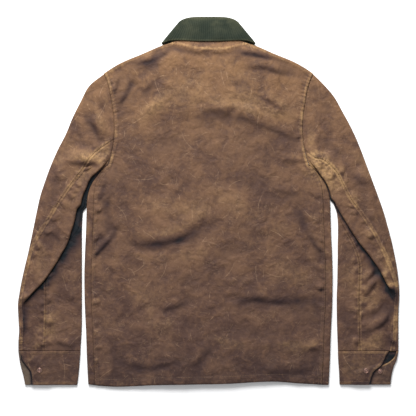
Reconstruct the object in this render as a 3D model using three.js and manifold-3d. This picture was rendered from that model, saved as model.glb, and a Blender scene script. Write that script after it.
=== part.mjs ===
// A hip-length waxed cotton jacket with a corduroy collar, laid face down and flat, with both sleeves folded
// down beside the body. Millimetres: +X to the wearer's right, +Y from hem to collar, +Z up from the surface.
// Every cloth piece is a thin wall. Its middle surface is worked out from sections, and each point of it then
// moves half the cloth's thickness to either side. The fronts lie on the surface and the back lies on the
// fronts. Each sleeve is one flattened tube with a deep tuck at the elbow, where the upper arm laps over the
// forearm.

import * as THREE from "three";
import { mergeVertices } from "three/addons/utils/BufferGeometryUtils.js";
import Module from "manifold-3d";

const wasm = await Module();
wasm.setup();

const bodyWall = 2.4; // waxed shell and its lining
const sleeveWall = 1.8;
const cuffWall = 2.0;
const collarWall = 2.2; // two plies of corduroy
const seamGap = 0.3;
const seamInset = 0.6 * seamGap; // a little over half the gap, for the seam's bend
const layerGap = 0.6; // air between the folded layers of a sleeve

const bodyStep = bodyWall + seamGap; // from one body layer's middle to the next
const sleeveStep = sleeveWall + layerGap;
const frontLevel = bodyWall / 2;
const backLevel = frontLevel + bodyStep;
const floorLevel = sleeveWall / 2;
const forearmLevel = floorLevel + sleeveStep;

const frameShift = new THREE.Vector3(-0.25, 0.2, 0); // puts the origin under the middle of the whole outline

const tan = { color: 0x7a5f47, roughness: 0.62, metalness: 0 };
const darkTan = { color: 0x6b523d, roughness: 0.66, metalness: 0 };
const olive = { color: 0x39422f, roughness: 0.9, metalness: 0 };
const copper = { color: 0xb08472, roughness: 0.35, metalness: 0.8 };

// Half the body's width, from the armpit down to the hem.
const bodySide = [
  { y: 74, half: 214 },
  { y: 62, half: 227 },
  { y: 43, half: 241 },
  { y: 28, half: 249 },
  { y: 6, half: 254.5 },
  { y: -24, half: 256 },
  { y: -60, half: 257 },
  { y: -105, half: 259 },
  { y: -155, half: 260.5 },
  { y: -220, half: 259.5 },
  { y: -270, half: 257 },
  { y: -330, half: 255 },
  { y: -388, half: 252 },
];
const armpitY = bodySide[0].y;
const sideWrap = 12; // how far the fronts come round the side before they meet the back
const armpitWrap = 1; // and how far they do so at the armpit
const wrapRun = 75; // the wrap narrows over this length below the armpit
const sideRadius = bodyStep / 2;

// The hem's wave, from the left side to the right.
const hemLine = [
  { x: -262, y: -381 },
  { x: -235, y: -385.5 },
  { x: -200, y: -387.5 },
  { x: -120, y: -384 },
  { x: -40, y: -382.5 },
  { x: 40, y: -381 },
  { x: 137, y: -376.5 },
  { x: 200, y: -380.5 },
  { x: 262, y: -384.5 },
];
const hemHalf = 250;

// The armhole seam of one side, from the shoulder down to the armpit.
const armhole = [
  { x: 219, y: 268 },
  { x: 209, y: 241 },
  { x: 203, y: 211 },
  { x: 199, y: 185 },
  { x: 197, y: 158 },
  { x: 198, y: 134 },
  { x: 201, y: 114 },
  { x: 205.5, y: 94 },
  { x: 211.5, y: 76.5 },
];

// The shoulder seam of one side, from the shoulder up to the neck.
const shoulder = [
  { x: 219, y: 268 },
  { x: 205, y: 278 },
  { x: 177, y: 293.5 },
  { x: 137, y: 309.5 },
  { x: 110, y: 321.5 },
  { x: 97, y: 326.5 },
  { x: 79, y: 332 },
];
const backNeck = [
  { x: 79, y: 332 },
  { x: 62, y: 337.5 },
  { x: 44, y: 341 },
  { x: 22, y: 343.5 },
  { x: 0, y: 344.5 },
];
const frontNeck = [
  { x: 79, y: 332 },
  { x: 72, y: 312 },
  { x: 60, y: 292 },
  { x: 45, y: 277 },
  { x: 26, y: 267 },
  { x: 0, y: 262 },
  { x: -15, y: 261 },
];
const frontLap = 15; // each front runs this far past the middle

const smooth = (t) => {
  const c = Math.min(1, Math.max(0, t));
  return c * c * (3 - 2 * c);
};
const mix = (a, b, t) => a + (b - a) * t;
const onCurve = (curve, t) => curve.getPointAt(Math.min(1, Math.max(0, t)));

// A table's column at any key between its rows, along a curve through them.
function read(table, key, column, at) {
  const rising = table[table.length - 1][key] > table[0][key];
  const rows = rising ? table : [...table].reverse();
  const last = rows.length - 1;
  let i = rows.findIndex((row) => row[key] > at) - 1;
  if (i < 0) i = at <= rows[0][key] ? 0 : last - 1;
  const t = Math.min(1, Math.max(0, (at - rows[i][key]) / (rows[i + 1][key] - rows[i][key])));
  const slope = (k) => {
    const before = rows[Math.max(0, k - 1)];
    const after = rows[Math.min(last, k + 1)];
    return (after[column] - before[column]) / (after[key] - before[key]);
  };
  const run = rows[i + 1][key] - rows[i][key];
  return (
    rows[i][column] * (1 + 2 * t) * (1 - t) ** 2 +
    slope(i) * run * t * (1 - t) ** 2 +
    rows[i + 1][column] * t * t * (3 - 2 * t) +
    slope(i + 1) * run * t * t * (t - 1)
  );
}

const hemAt = (x) => read(hemLine, "x", "y", x);

// A smooth plan curve through a table's x and y, mirrored to the left when side is -1.
function planCurve(table, side = 1) {
  const points = table.map((row) => new THREE.Vector3(side * row.x, row.y, 0));
  return new THREE.CatmullRomCurve3(points, false, "centripetal");
}

// The largest folds of the back: ridges lift the cloth and troughs, with a negative height, let it down.
// bow bends a fold sideways at its middle, and width is half of it.
const backFolds = [
  { fromX: -78, fromY: 314, toX: 60, toY: 305, bow: 6, width: 8, height: -2 },
  { fromX: 55, fromY: 309, toX: 195, toY: 287, bow: 0, width: 9, height: -2.6 },
  { fromX: -168, fromY: 287, toX: -92, toY: 303, bow: 0, width: 9, height: -2.2 },
  { fromX: -191, fromY: 214, toX: -162, toY: 274, bow: 0, width: 7, height: 3 },
  { fromX: -194, fromY: 193, toX: -153, toY: 260, bow: 0, width: 7, height: -2.8 },
  { fromX: -188, fromY: 186, toX: -134, toY: 250, bow: 0, width: 9, height: 2.4 },
  { fromX: -150, fromY: 176, toX: -92, toY: 232, bow: 0, width: 10, height: -2 },
  { fromX: -123, fromY: 155, toX: 194, toY: 113, bow: -74, width: 15, height: 3.4 },
  { fromX: -25, fromY: 180, toX: 202, toY: 106, bow: -26, width: 13, height: -2.6 },
  { fromX: 100, fromY: 222, toX: 170, toY: 166, bow: 0, width: 9, height: -2 },
  { fromX: 168, fromY: 93, toX: 206, toY: 91, bow: 0, width: 6, height: 2 },
  { fromX: 25, fromY: 79, toX: 110, toY: 81, bow: 5, width: 10, height: -1.8 },
  { fromX: 8, fromY: 8, toX: 54, toY: 52, bow: 0, width: 10, height: 2 },
  { fromX: -176, fromY: -78, toX: 28, toY: -34, bow: 28, width: 10, height: -3.4 },
  { fromX: -170, fromY: -56, toX: 20, toY: -12, bow: 27, width: 12, height: 2.8 },
  { fromX: -246, fromY: -118, toX: -186, toY: -50, bow: 0, width: 8, height: -3 },
  { fromX: -226, fromY: -128, toX: -168, toY: -62, bow: 0, width: 9, height: 2.4 },
  { fromX: 186, fromY: -42, toX: 244, toY: -121, bow: 0, width: 9, height: -2.6 },
  { fromX: 172, fromY: -58, toX: 232, toY: -142, bow: 0, width: 10, height: 2.2 },
  { fromX: 216, fromY: -128, toX: 246, toY: -168, bow: 0, width: 7, height: -2 },
  { fromX: -124, fromY: -236, toX: -38, toY: -213, bow: 0, width: 9, height: -2.2 },
  { fromX: 26, fromY: -232, toX: 238, toY: -200, bow: -14, width: 9, height: -3 },
  { fromX: 46, fromY: -198, toX: 234, toY: -182, bow: -7, width: 11, height: 2.4 },
  { fromX: 116, fromY: -294, toX: 238, toY: -297, bow: 0, width: 8, height: 2.6 },
  { fromX: 100, fromY: -349, toX: 230, toY: -359, bow: 0, width: 10, height: -2.4 },
  { fromX: -26, fromY: -347, toX: 10, toY: -300, bow: 0, width: 9, height: -2.2 },
  { fromX: -6, fromY: -360, toX: 34, toY: -308, bow: 0, width: 9, height: 2.2 },
  { fromX: -196, fromY: -342, toX: -132, toY: -350, bow: 0, width: 9, height: -2.2 },
];

// The largest folds of the two sleeves, on what shows of them.
const sleeveFolds = [
  { fromX: -305, fromY: 81, toX: -222, toY: 79, bow: 0, width: 6, height: -2.6 },
  { fromX: -300, fromY: 62, toX: -226, toY: 68, bow: 0, width: 7, height: 2 },
  { fromX: -256, fromY: 172, toX: -228, toY: 134, bow: 0, width: 7, height: -2 },
  { fromX: -236, fromY: 210, toX: -212, toY: 140, bow: 0, width: 7, height: 2.2 },
  { fromX: -376, fromY: -206, toX: -386, toY: -292, bow: 0, width: 7, height: -1.6 },
  { fromX: -340, fromY: -294, toX: -376, toY: -344, bow: 0, width: 6, height: -1.6 },
  { fromX: -332, fromY: -302, toX: -368, toY: -352, bow: 0, width: 6, height: 2 },
  { fromX: 356, fromY: -128, toX: 326, toY: -172, bow: 0, width: 7, height: 2.6 },
  { fromX: 390, fromY: -178, toX: 316, toY: -248, bow: 6, width: 8, height: -2 },
  { fromX: 384, fromY: -196, toX: 318, toY: -262, bow: 6, width: 10, height: 3 },
  { fromX: 390, fromY: -228, toX: 330, toY: -278, bow: 6, width: 7, height: -2 },
  { fromX: 224, fromY: 196, toX: 252, toY: 112, bow: 0, width: 10, height: 2 },
];

// The whole back neckline, from left to right.
const backNeckCurve = () =>
  planCurve([...backNeck.map((p) => ({ x: -p.x, y: p.y })), ...backNeck.slice(0, -1).reverse()]);

// The height that a table of folds adds at one place.
function foldHeight(folds, x, y) {
  let height = 0;
  for (const fold of folds) {
    const runX = fold.toX - fold.fromX;
    const runY = fold.toY - fold.fromY;
    const length = Math.hypot(runX, runY);
    const along = ((x - fold.fromX) * runX + (y - fold.fromY) * runY) / length ** 2;
    const across = ((x - fold.fromX) * runY - (y - fold.fromY) * runX) / length;
    const offLine = across - fold.bow * 4 * along * (1 - along);
    const taper = smooth(along / 0.25) * smooth((1 - along) / 0.25);
    height += fold.height * taper * Math.exp(-((offLine / fold.width) ** 2));
  }
  return height;
}

// The direction of the upper face of the cloth at every point of a grid. In a closed grid the last column meets
// the first.
function gridNormals(grid, closed = false) {
  const columns = grid[0].length;
  const normals = grid.map((row) => row.map(() => new THREE.Vector3()));
  const across = new THREE.Vector3();
  const along = new THREE.Vector3();
  for (let i = 0; i < grid.length - 1; i++) {
    for (let j = 0; j < (closed ? columns : columns - 1); j++) {
      const next = (j + 1) % columns;
      across.subVectors(grid[i + 1][next], grid[i][j]);
      along.subVectors(grid[i + 1][j], grid[i][next]);
      across.cross(along).normalize();
      for (const [r, c] of [[i, j], [i, next], [i + 1, j], [i + 1, next]]) normals[r][c].add(across);
    }
  }
  normals.forEach((row) => row.forEach((normal) => normal.normalize()));
  return normals;
}

// A closed cloth wall round a grid of points on its middle surface. hasCell leaves out cells of the grid.
function clothWall(grid, thickness, hasCell = () => true, normals = gridNormals(grid)) {
  const columns = grid[0].length;
  const numberOf = new Map();
  const outer = [];
  const inner = [];
  const vertex = (i, j) => {
    const key = i * columns + j;
    if (!numberOf.has(key)) {
      numberOf.set(key, outer.length);
      outer.push(grid[i][j].clone().addScaledVector(normals[i][j], thickness / 2));
      inner.push(grid[i][j].clone().addScaledVector(normals[i][j], -thickness / 2));
    }
    return numberOf.get(key);
  };
  const triangles = [];
  for (let i = 0; i < grid.length - 1; i++) {
    for (let j = 0; j < columns - 1; j++) {
      if (!hasCell(i, j)) continue;
      const [a, b, c, d] = [vertex(i, j), vertex(i, j + 1), vertex(i + 1, j + 1), vertex(i + 1, j)];
      triangles.push([a, b, c], [a, c, d]);
    }
  }

  const count = outer.length;
  const faces = [];
  const directed = new Set();
  for (const [a, b, c] of triangles) {
    faces.push([a, b, c], [c + count, b + count, a + count]);
    for (const [p, q] of [[a, b], [b, c], [c, a]]) directed.add(p * count + q);
  }
  for (const edge of directed) {
    const a = Math.floor(edge / count);
    const b = edge % count;
    if (directed.has(b * count + a)) continue;
    faces.push([b, a, a + count], [b, a + count, b + count]);
  }

  const positions = [...outer, ...inner].flatMap((p) => [p.x, p.y, p.z]);
  const geometry = new THREE.BufferGeometry();
  geometry.setAttribute("position", new THREE.Float32BufferAttribute(positions, 3));
  geometry.setIndex(faces.flat());
  return geometry;
}

// A patch in plan between four curves, each a function of 0 to 1: bottom and top run left to right, and left
// and right run upwards.
function patchPoint(bottom, top, left, right, u, v) {
  const point = new THREE.Vector3();
  point.addScaledVector(bottom(u), 1 - v).addScaledVector(top(u), v);
  point.addScaledVector(left(v), 1 - u).addScaledVector(right(v), u);
  point.addScaledVector(bottom(0), -(1 - u) * (1 - v)).addScaledVector(bottom(1), -u * (1 - v));
  point.addScaledVector(top(0), -(1 - u) * v).addScaledVector(top(1), -u * v);
  return point;
}

// Places where a layer is lifted by what lies under it. The lift starts at reach from the middle line and is
// whole after a further run; where fromY and runY are given it also starts at that height and grows upwards.
const leafLift = collarWall + seamGap;
const lifts = {
  frontOverLeaf: { rise: leafLift, reach: 150, run: 32, fromY: 175, runY: 36 },
  backOverLeaf: { rise: leafLift, reach: 172, run: 44, fromY: 150, runY: 46 },
  sinkAtNeck: { rise: 0.5, reach: 38, run: 26, fromY: 305, runY: 35 }, // a share of backOverLeaf
  leftOverRight: { rise: bodyStep + 0.3, reach: 44, run: 20 },
  backOverLap: { rise: bodyStep + 0.5, reach: 190, run: 145 },
  airUnderBack: { rise: 1.8, reach: 250, run: 110 },
};
const lifted = (lift, distance) => lift.rise * smooth((lift.reach - distance) / lift.run);
const liftedAt = (lift, x, y) => lifted(lift, Math.abs(x)) * smooth((y - lift.fromY) / lift.runY);

// The left front closes over the right one, which here lies above it.
function frontHeight(x, y, side) {
  const lap = side > 0 ? lifted(lifts.leftOverRight, x) : 0;
  return frontLevel + liftedAt(lifts.frontOverLeaf, x, y) + lap;
}

// The back rests on the fronts, is lifted where they lap and over the collar's leaves, and carries its folds.
// fade is 0 at a seam.
function backHeight(x, y, fade) {
  const leaf = liftedAt(lifts.backOverLeaf, x, y) * (1 - liftedAt(lifts.sinkAtNeck, x, y));
  const crown = lifted(lifts.backOverLap, Math.abs(x));
  const air = lifted(lifts.airUnderBack, Math.abs(x));
  const folds = Math.max(-air, foldHeight(backFolds, x, y));
  return backLevel + leaf + (crown + air + folds) * fade;
}

const wrapWidth = (y) => mix(armpitWrap, sideWrap, smooth((armpitY - y) / wrapRun));
const foldCentre = (y) => read(bodySide, "y", "half", y) - sideRadius - bodyWall / 2;

// Rows of the back and the fronts between the hem and the armpit, closer together towards the armpit.
const lowerRows = 22;
const rowCrowding = 1.35;
const lowerShare = (i) => 1 - (1 - i / lowerRows) ** rowCrowding;

const backColumns = 28;
const shoulderColumns = 9; // of the back's columns, those that end at one shoulder seam
// Where a front's columns lie across it: two follow the step over the lap, the fifth ends at the neck point.
const frontShares = [0, 0.125, 0.2, 0.31, 0.42, 0.565, 0.71, 0.855, 1];
const neckColumns = 4;

// A body panel's armhole edge, from the armpit up, led to the panel's corner at the armpit.
function armholeEdge(side, cornerX) {
  const line = planCurve([...armhole].reverse().map((p) => ({ x: p.x - seamGap, y: p.y })), side);
  const armpit = line.getPointAt(0);
  const tightness = 6; // the higher, the closer to the armpit the edge turns to the corner
  return (v) => {
    const point = line.getPointAt(v);
    point.x += (side * cornerX - armpit.x) * (1 - v) ** tightness;
    point.y += (armpitY - armpit.y) * (1 - v);
    return point;
  };
}

// A body panel's shoulder edge, from the neck to the armhole.
const shoulderEdge = (side) =>
  planCurve([...shoulder].reverse().map((p) => ({ x: p.x - seamGap, y: p.y })), side);

// The back: rows from the hem to the armpit, then a patch up to the shoulders and the neck.
function backPanel() {
  const columns = backColumns;
  const upperRows = 14;
  const edgeShare = 0.05; // the folds fade out over this share of the width at each side
  const armpitShare = 0.12; // and over this share of the upper rows below the shoulders
  const seamX = (y) => foldCentre(y) - wrapWidth(y) - seamGap;
  const leftShoulder = shoulderEdge(-1);
  const rightShoulder = shoulderEdge(1);
  const neckLine = backNeckCurve();
  const shoulderShare = shoulderColumns / columns;
  const top = (u) => {
    if (u < shoulderShare) return onCurve(leftShoulder, 1 - u / shoulderShare);
    if (u > 1 - shoulderShare) return onCurve(rightShoulder, (u - 1 + shoulderShare) / shoulderShare);
    return onCurve(neckLine, (u - shoulderShare) / (1 - 2 * shoulderShare));
  };
  const cornerX = seamX(armpitY);
  const bottom = (u) => new THREE.Vector3(mix(-cornerX, cornerX, u), armpitY, 0);
  const left = armholeEdge(-1, cornerX);
  const right = armholeEdge(1, cornerX);

  const grid = [];
  for (let i = 0; i <= lowerRows + upperRows; i++) {
    const row = [];
    for (let j = 0; j <= columns; j++) {
      const u = j / columns;
      let point;
      let fade = smooth(u / edgeShare) * smooth((1 - u) / edgeShare);
      if (i <= lowerRows) {
        const v = lowerShare(i);
        const across = mix(-1, 1, u);
        const y = mix(hemAt(across * hemHalf), armpitY, v);
        point = new THREE.Vector3(across * seamX(y), y, 0);
      } else {
        const v = (i - lowerRows) / upperRows;
        point = patchPoint(bottom, top, left, right, u, v);
        fade *= smooth((1 - v) / armpitShare);
      }
      point.z = backHeight(point.x, point.y, fade);
      row.push(point);
    }
    grid.push(row);
  }
  return clothWall(grid, bodyWall);
}

// One front, flat on the surface from the closing edge to the side, round the side and up to the side seam.
function frontPanel(side) {
  const flatColumns = frontShares.length - 1;
  const turnColumns = 4;
  const wrapColumns = 1;
  const upperRows = 10;
  const shoulderLine = shoulderEdge(side);
  const neckLine = planCurve([...frontNeck].reverse(), side);
  const neckShare = frontShares[neckColumns];
  const closingX = -side * frontLap;
  const top = (u) =>
    u < neckShare
      ? onCurve(neckLine, u / neckShare)
      : onCurve(shoulderLine, (u - neckShare) / (1 - neckShare));
  const bottom = (u) => new THREE.Vector3(mix(closingX, side * foldCentre(armpitY), u), armpitY, 0);
  const neckEnd = frontNeck[frontNeck.length - 1];
  const closing = (v) => new THREE.Vector3(closingX, mix(armpitY, neckEnd.y, v), 0);
  const outer = armholeEdge(side, foldCentre(armpitY));

  const grid = [];
  for (let i = 0; i <= lowerRows + upperRows; i++) {
    const row = [];
    for (let j = 0; j <= flatColumns; j++) {
      const u = frontShares[j];
      let point;
      if (i <= lowerRows) {
        const y = mix(hemAt(mix(closingX, side * hemHalf, u)), armpitY, lowerShare(i));
        point = new THREE.Vector3(mix(closingX, side * foldCentre(y), u), y, 0);
      } else {
        point = patchPoint(bottom, top, closing, outer, u, (i - lowerRows) / upperRows);
      }
      point.z = frontHeight(point.x, point.y, side);
      row.push(point);
    }
    const edge = row[flatColumns];
    for (let k = 1; k <= turnColumns; k++) {
      const angle = (Math.PI * k) / turnColumns;
      const x = edge.x + side * sideRadius * Math.sin(angle);
      row.push(new THREE.Vector3(x, edge.y, edge.z + sideRadius * (1 - Math.cos(angle))));
    }
    for (let k = 1; k <= wrapColumns; k++) {
      const x = edge.x - (side * wrapWidth(edge.y) * k) / wrapColumns;
      row.push(new THREE.Vector3(x, edge.y, edge.z + 2 * sideRadius));
    }
    grid.push(row);
  }
  return clothWall(grid, bodyWall, (i, j) => i < lowerRows || j < flatColumns);
}

// A sleeve's sections, from the armhole to the cuff, each a line in plan from its outer to its inner point.
// lap is how far inside the inner edge the upper arm's folded edge lies, tuck the depth of the cloth folded
// under it, turn the angle in degrees through which that edge has turned, curve the share of the armhole's
// curve in the section, and seam how far the elbow seam lies from the outer edge.
const leftSleeve = [
  { outX: -219, outY: 268, inX: -212.5, inY: 76.2, lap: 20, tuck: 1.2, turn: 0, curve: 1, seam: 125 },
  { outX: -250, outY: 243, inX: -226, inY: 66, lap: 9, tuck: 3, turn: 150, curve: 0.72, seam: 120 },
  { outX: -268, outY: 210, inX: -236, inY: 54, lap: 9, tuck: 24, turn: 180, curve: 0.45, seam: 105 },
  { outX: -285, outY: 176, inX: -243, inY: 44, lap: 12, tuck: 40, turn: 180, curve: 0.24, seam: 92 },
  { outX: -299, outY: 142, inX: -249.5, inY: 34, lap: 11, tuck: 50, turn: 180, curve: 0.1, seam: 80 },
  { outX: -316, outY: 109, inX: -254.5, inY: 22.5, lap: 9, tuck: 55, turn: 180, curve: 0, seam: 69 },
  { outX: -331, outY: 75, inX: -258, inY: 9, lap: 11, tuck: 58, turn: 180, curve: 0, seam: 58 },
  { outX: -343.5, outY: 41, inX: -261, inY: -7, lap: 13, tuck: 60, turn: 180, curve: 0, seam: 49 },
  { outX: -353, outY: 12, inX: -263.5, inY: -24, lap: 14.5, tuck: 58, turn: 180, curve: 0, seam: 41 },
  { outX: -360, outY: -19, inX: -265, inY: -45, lap: 17, tuck: 56, turn: 180, curve: 0, seam: 32 },
  { outX: -366.5, outY: -51, inX: -265.5, inY: -66, lap: 23, tuck: 52, turn: 180, curve: 0, seam: 21 },
  { outX: -372.5, outY: -80, inX: -265.5, inY: -87, lap: 30, tuck: 46, turn: 180, curve: 0, seam: 10 },
  { outX: -379, outY: -110, inX: -265.5, inY: -112, lap: 44, tuck: 36, turn: 180, curve: 0, seam: 5 },
  { outX: -386, outY: -139, inX: -265.5, inY: -139, lap: 61, tuck: 25, turn: 180, curve: 0, seam: 5 },
  { outX: -392.5, outY: -168, inX: -265.5, inY: -166, lap: 81, tuck: 13, turn: 180, curve: 0, seam: 5 },
  { outX: -397, outY: -194, inX: -265.5, inY: -191, lap: 106, tuck: 4, turn: 180, curve: 0, seam: 5 },
  { outX: -400, outY: -215, inX: -265.5, inY: -215, lap: 123, tuck: 1.2, turn: 70, curve: 0, seam: 5 },
  { outX: -399, outY: -244, inX: -265.5, inY: -244, lap: 122, tuck: 1.2, turn: 0, curve: 0, seam: 5 },
  { outX: -397.5, outY: -270, inX: -266, inY: -270, lap: 120, tuck: 1.2, turn: 0, curve: 0, seam: 5 },
  { outX: -399, outY: -294, inX: -267.5, inY: -294, lap: 120, tuck: 1.2, turn: 0, curve: 0, seam: 5 },
  { outX: -399, outY: -314, inX: -268.5, inY: -314, lap: 120, tuck: 1.2, turn: 0, curve: 0, seam: 5 },
];
const rightSleeve = [
  { outX: 219, outY: 268, inX: 212.5, inY: 76.2, lap: 20, tuck: 1.2, turn: 0, curve: 1, seam: 152 },
  { outX: 244, outY: 243, inX: 228.5, inY: 63, lap: 9, tuck: 3, turn: 150, curve: 0.72, seam: 146 },
  { outX: 264, outY: 219, inX: 237, inY: 52, lap: 5, tuck: 24, turn: 180, curve: 0.45, seam: 128 },
  { outX: 279, outY: 192, inX: 244, inY: 42, lap: 5, tuck: 40, turn: 180, curve: 0.24, seam: 112 },
  { outX: 295, outY: 163, inX: 250, inY: 30, lap: 5, tuck: 50, turn: 180, curve: 0.1, seam: 98 },
  { outX: 309, outY: 134, inX: 255, inY: 17, lap: 5, tuck: 55, turn: 180, curve: 0, seam: 86 },
  { outX: 322, outY: 102, inX: 259, inY: 4, lap: 5, tuck: 58, turn: 180, curve: 0, seam: 75 },
  { outX: 334, outY: 70, inX: 263.5, inY: -8, lap: 5, tuck: 60, turn: 180, curve: 0, seam: 66 },
  { outX: 346, outY: 38, inX: 268, inY: -20, lap: 6, tuck: 58, turn: 180, curve: 0, seam: 58 },
  { outX: 357, outY: 8, inX: 270.5, inY: -34, lap: 11, tuck: 56, turn: 180, curve: 0, seam: 50 },
  { outX: 367.5, outY: -22, inX: 271.5, inY: -50, lap: 19, tuck: 50, turn: 180, curve: 0, seam: 42 },
  { outX: 376, outY: -52, inX: 271.5, inY: -70, lap: 31, tuck: 44, turn: 180, curve: 0, seam: 34 },
  { outX: 384, outY: -82, inX: 271, inY: -92, lap: 47, tuck: 36, turn: 180, curve: 0, seam: 27 },
  { outX: 390.5, outY: -112, inX: 271, inY: -117, lap: 68, tuck: 25, turn: 180, curve: 0, seam: 20 },
  { outX: 396, outY: -142, inX: 270.5, inY: -144, lap: 88, tuck: 13, turn: 180, curve: 0, seam: 13 },
  { outX: 399.5, outY: -172, inX: 270, inY: -172, lap: 104, tuck: 4, turn: 180, curve: 0, seam: 7 },
  { outX: 400.5, outY: -198, inX: 269, inY: -198, lap: 118, tuck: 1.2, turn: 70, curve: 0, seam: 6 },
  { outX: 399, outY: -227, inX: 269, inY: -227, lap: 118, tuck: 1.2, turn: 0, curve: 0, seam: 6 },
  { outX: 398.5, outY: -258, inX: 269.5, inY: -258, lap: 116, tuck: 1.2, turn: 0, curve: 0, seam: 7 },
  { outX: 398.5, outY: -288, inX: 270.5, inY: -288, lap: 112, tuck: 1.2, turn: 0, curve: 0, seam: 9 },
  { outX: 398.5, outY: -314, inX: 271.5, inY: -314, lap: 108, tuck: 1.2, turn: 0, curve: 0, seam: 14 },
];
const underarmSeam = { left: 72, right: 43 }; // on the forearm, from its inner edge
const seamSwing = { from: 0.45, run: 0.25 }; // the shares of the sleeve where that seam leaves the edge
const upperAir = 0.9; // how far the cloth that shows stands off where it has no trough
const riseClear = 7; // the upper arm is up on its tuck this far before the tuck's end
const riseRun = 26; // and it rises over this length
const foldFade = { outer: 12, inner: 8, ends: 0.05 }; // where folds fade: widths, and a share of the length
const openEase = 1.2; // keeps the points apart where the fold opens out flat

// Steps from one distance to another, with one of them moved to a place between them where the cloth bends.
function stops(from, to, count, bend) {
  const list = [];
  const inside = bend > from && bend < to;
  const at = Math.min(count - 1, Math.max(1, Math.round((count * (bend - from)) / (to - from))));
  for (let k = 0; k <= count; k++) {
    if (!inside) list.push(mix(from, to, k / count));
    else if (k <= at) list.push(mix(from, bend, k / at));
    else list.push(mix(bend, to, (k - at) / (count - at)));
  }
  return list;
}

const turnSteps = 4;
const showingColumns = { upper: 6, tuck: 2, forearm: 3 };
const hiddenColumns = { forearm: 3, floor: 5, upper: 3 };
const showingCount =
  showingColumns.upper + 2 * turnSteps + showingColumns.tuck + showingColumns.forearm;

// The middle line of one section, as a closed path of points. It starts at the elbow seam with the cloth that
// shows and holds the tuck, reaches the underarm seam after showingCount points, and goes on round the inner
// edge, along the surface and round the outer edge, back to the elbow seam.
function sleeveSection(row, side, stationShare) {
  const radius = sleeveStep / 2;
  const edge = radius + sleeveWall / 2;
  const outer = new THREE.Vector3(row.outX, row.outY, 0);
  const inner = new THREE.Vector3(row.inX, row.inY, 0);
  const length = outer.distanceTo(inner);
  const armCurve = planCurve(armhole, side);
  const chordStart = armCurve.getPoint(0);
  const chordEnd = armCurve.getPoint(1);
  const at = (distance, height) => {
    const share = distance / length;
    const point = outer.clone().lerp(inner, share);
    if (row.curve > 0) {
      const within = Math.min(1, Math.max(0, share));
      const bend = armCurve.getPoint(within).sub(chordStart.clone().lerp(chordEnd, within));
      point.addScaledVector(bend, row.curve);
      point.x += side * seamGap * row.curve;
    }
    point.z = height;
    return point;
  };

  const turn = THREE.MathUtils.degToRad(row.turn);
  const drop = 2 * radius * (1 - Math.cos(turn)) + row.tuck * Math.sin(turn);
  const lapAt = length - row.lap - edge;
  const lift = (backLevel - forearmLevel) * row.curve;
  const forearmHeight = forearmLevel + lift;
  const raisedAt = Math.max(edge + 4, lapAt - row.tuck - riseClear);
  const riseFrom = Math.max(edge, raisedAt - riseRun);
  const risen = (distance) => smooth((distance - riseFrom) / (raisedAt - riseFrom));
  const upperHeight = (distance) => forearmHeight + drop * risen(distance);
  const surface = (distance, height) => {
    const point = at(distance, height);
    const outerFade = smooth((distance - edge) / foldFade.outer);
    const innerFade = smooth((length - distance - edge) / foldFade.inner);
    const endFade = smooth(stationShare / foldFade.ends) * smooth((1 - stationShare) / foldFade.ends);
    const fold = Math.max(-upperAir, foldHeight(sleeveFolds, point.x, point.y));
    point.z += (upperAir + fold) * outerFade * innerFade * endFade;
    return point;
  };

  const path = [];
  const seamAt = Math.max(row.seam, edge + 1);
  for (const distance of stops(seamAt, lapAt, showingColumns.upper, raisedAt)) {
    path.push(surface(distance, upperHeight(distance)));
  }
  const bump = path[path.length - 1].z - (forearmHeight + drop);
  const ease = openEase * (1 - row.turn / 180);
  for (let k = 1; k <= turnSteps; k++) {
    const angle = (turn * k) / turnSteps;
    const height = forearmHeight + drop - radius * (1 - Math.cos(angle));
    path.push(at(lapAt + radius * Math.sin(angle) + ease * k, height + bump * (1 - k / turnSteps)));
  }
  const firstEnd = lapAt + radius * Math.sin(turn) + ease * turnSteps;
  const firstHeight = forearmHeight + drop - radius * (1 - Math.cos(turn));
  for (let k = 1; k <= showingColumns.tuck; k++) {
    const reach = (row.tuck * k) / showingColumns.tuck;
    path.push(at(firstEnd + reach * Math.cos(turn), firstHeight - reach * Math.sin(turn)));
  }
  const secondStart = firstEnd + row.tuck * Math.cos(turn);
  for (let k = 1; k <= turnSteps; k++) {
    const angle = turn * (1 - k / turnSteps);
    const distance = secondStart + radius * (Math.sin(turn) - Math.sin(angle)) + ease * k;
    path.push(at(distance, forearmHeight + radius * (1 - Math.cos(angle))));
  }
  const forearmStart = secondStart + radius * Math.sin(turn) + ease * turnSteps;
  const underarm = side < 0 ? underarmSeam.left : underarmSeam.right;
  const swung = smooth((stationShare - seamSwing.from) / seamSwing.run);
  const seamPlace = length - edge - 2 - underarm * swung;
  const underSeam = Math.max(forearmStart + 1.5, seamPlace);
  const covered = (distance) => row.turn > 90 && distance < lapAt + edge;
  const forearm = (distance) => {
    const point = surface(distance, forearmHeight);
    if (covered(distance)) point.z = forearmHeight;
    return point;
  };
  for (let k = 1; k <= showingColumns.forearm; k++) {
    path.push(forearm(mix(forearmStart, underSeam, k / showingColumns.forearm)));
  }

  const innerAt = length - edge;
  for (const distance of stops(underSeam, innerAt, hiddenColumns.forearm, lapAt + edge + 1).slice(1)) {
    path.push(forearm(distance));
  }
  const endRadius = (forearmHeight - floorLevel) / 2;
  for (let k = 1; k <= turnSteps; k++) {
    const angle = (Math.PI * k) / turnSteps;
    path.push(at(innerAt + radius * Math.sin(angle), floorLevel + endRadius * (1 + Math.cos(angle))));
  }
  for (let k = 1; k <= hiddenColumns.floor; k++) {
    path.push(at(mix(innerAt, edge, k / hiddenColumns.floor), floorLevel));
  }
  for (let k = 1; k <= turnSteps; k++) {
    const angle = (Math.PI * k) / turnSteps;
    path.push(at(edge - radius * Math.sin(angle), floorLevel + endRadius * (1 - Math.cos(angle))));
  }
  for (const distance of stops(edge, seamAt, hiddenColumns.upper, raisedAt).slice(1, -1)) {
    path.push(surface(distance, upperHeight(distance)));
  }
  return path;
}

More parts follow.
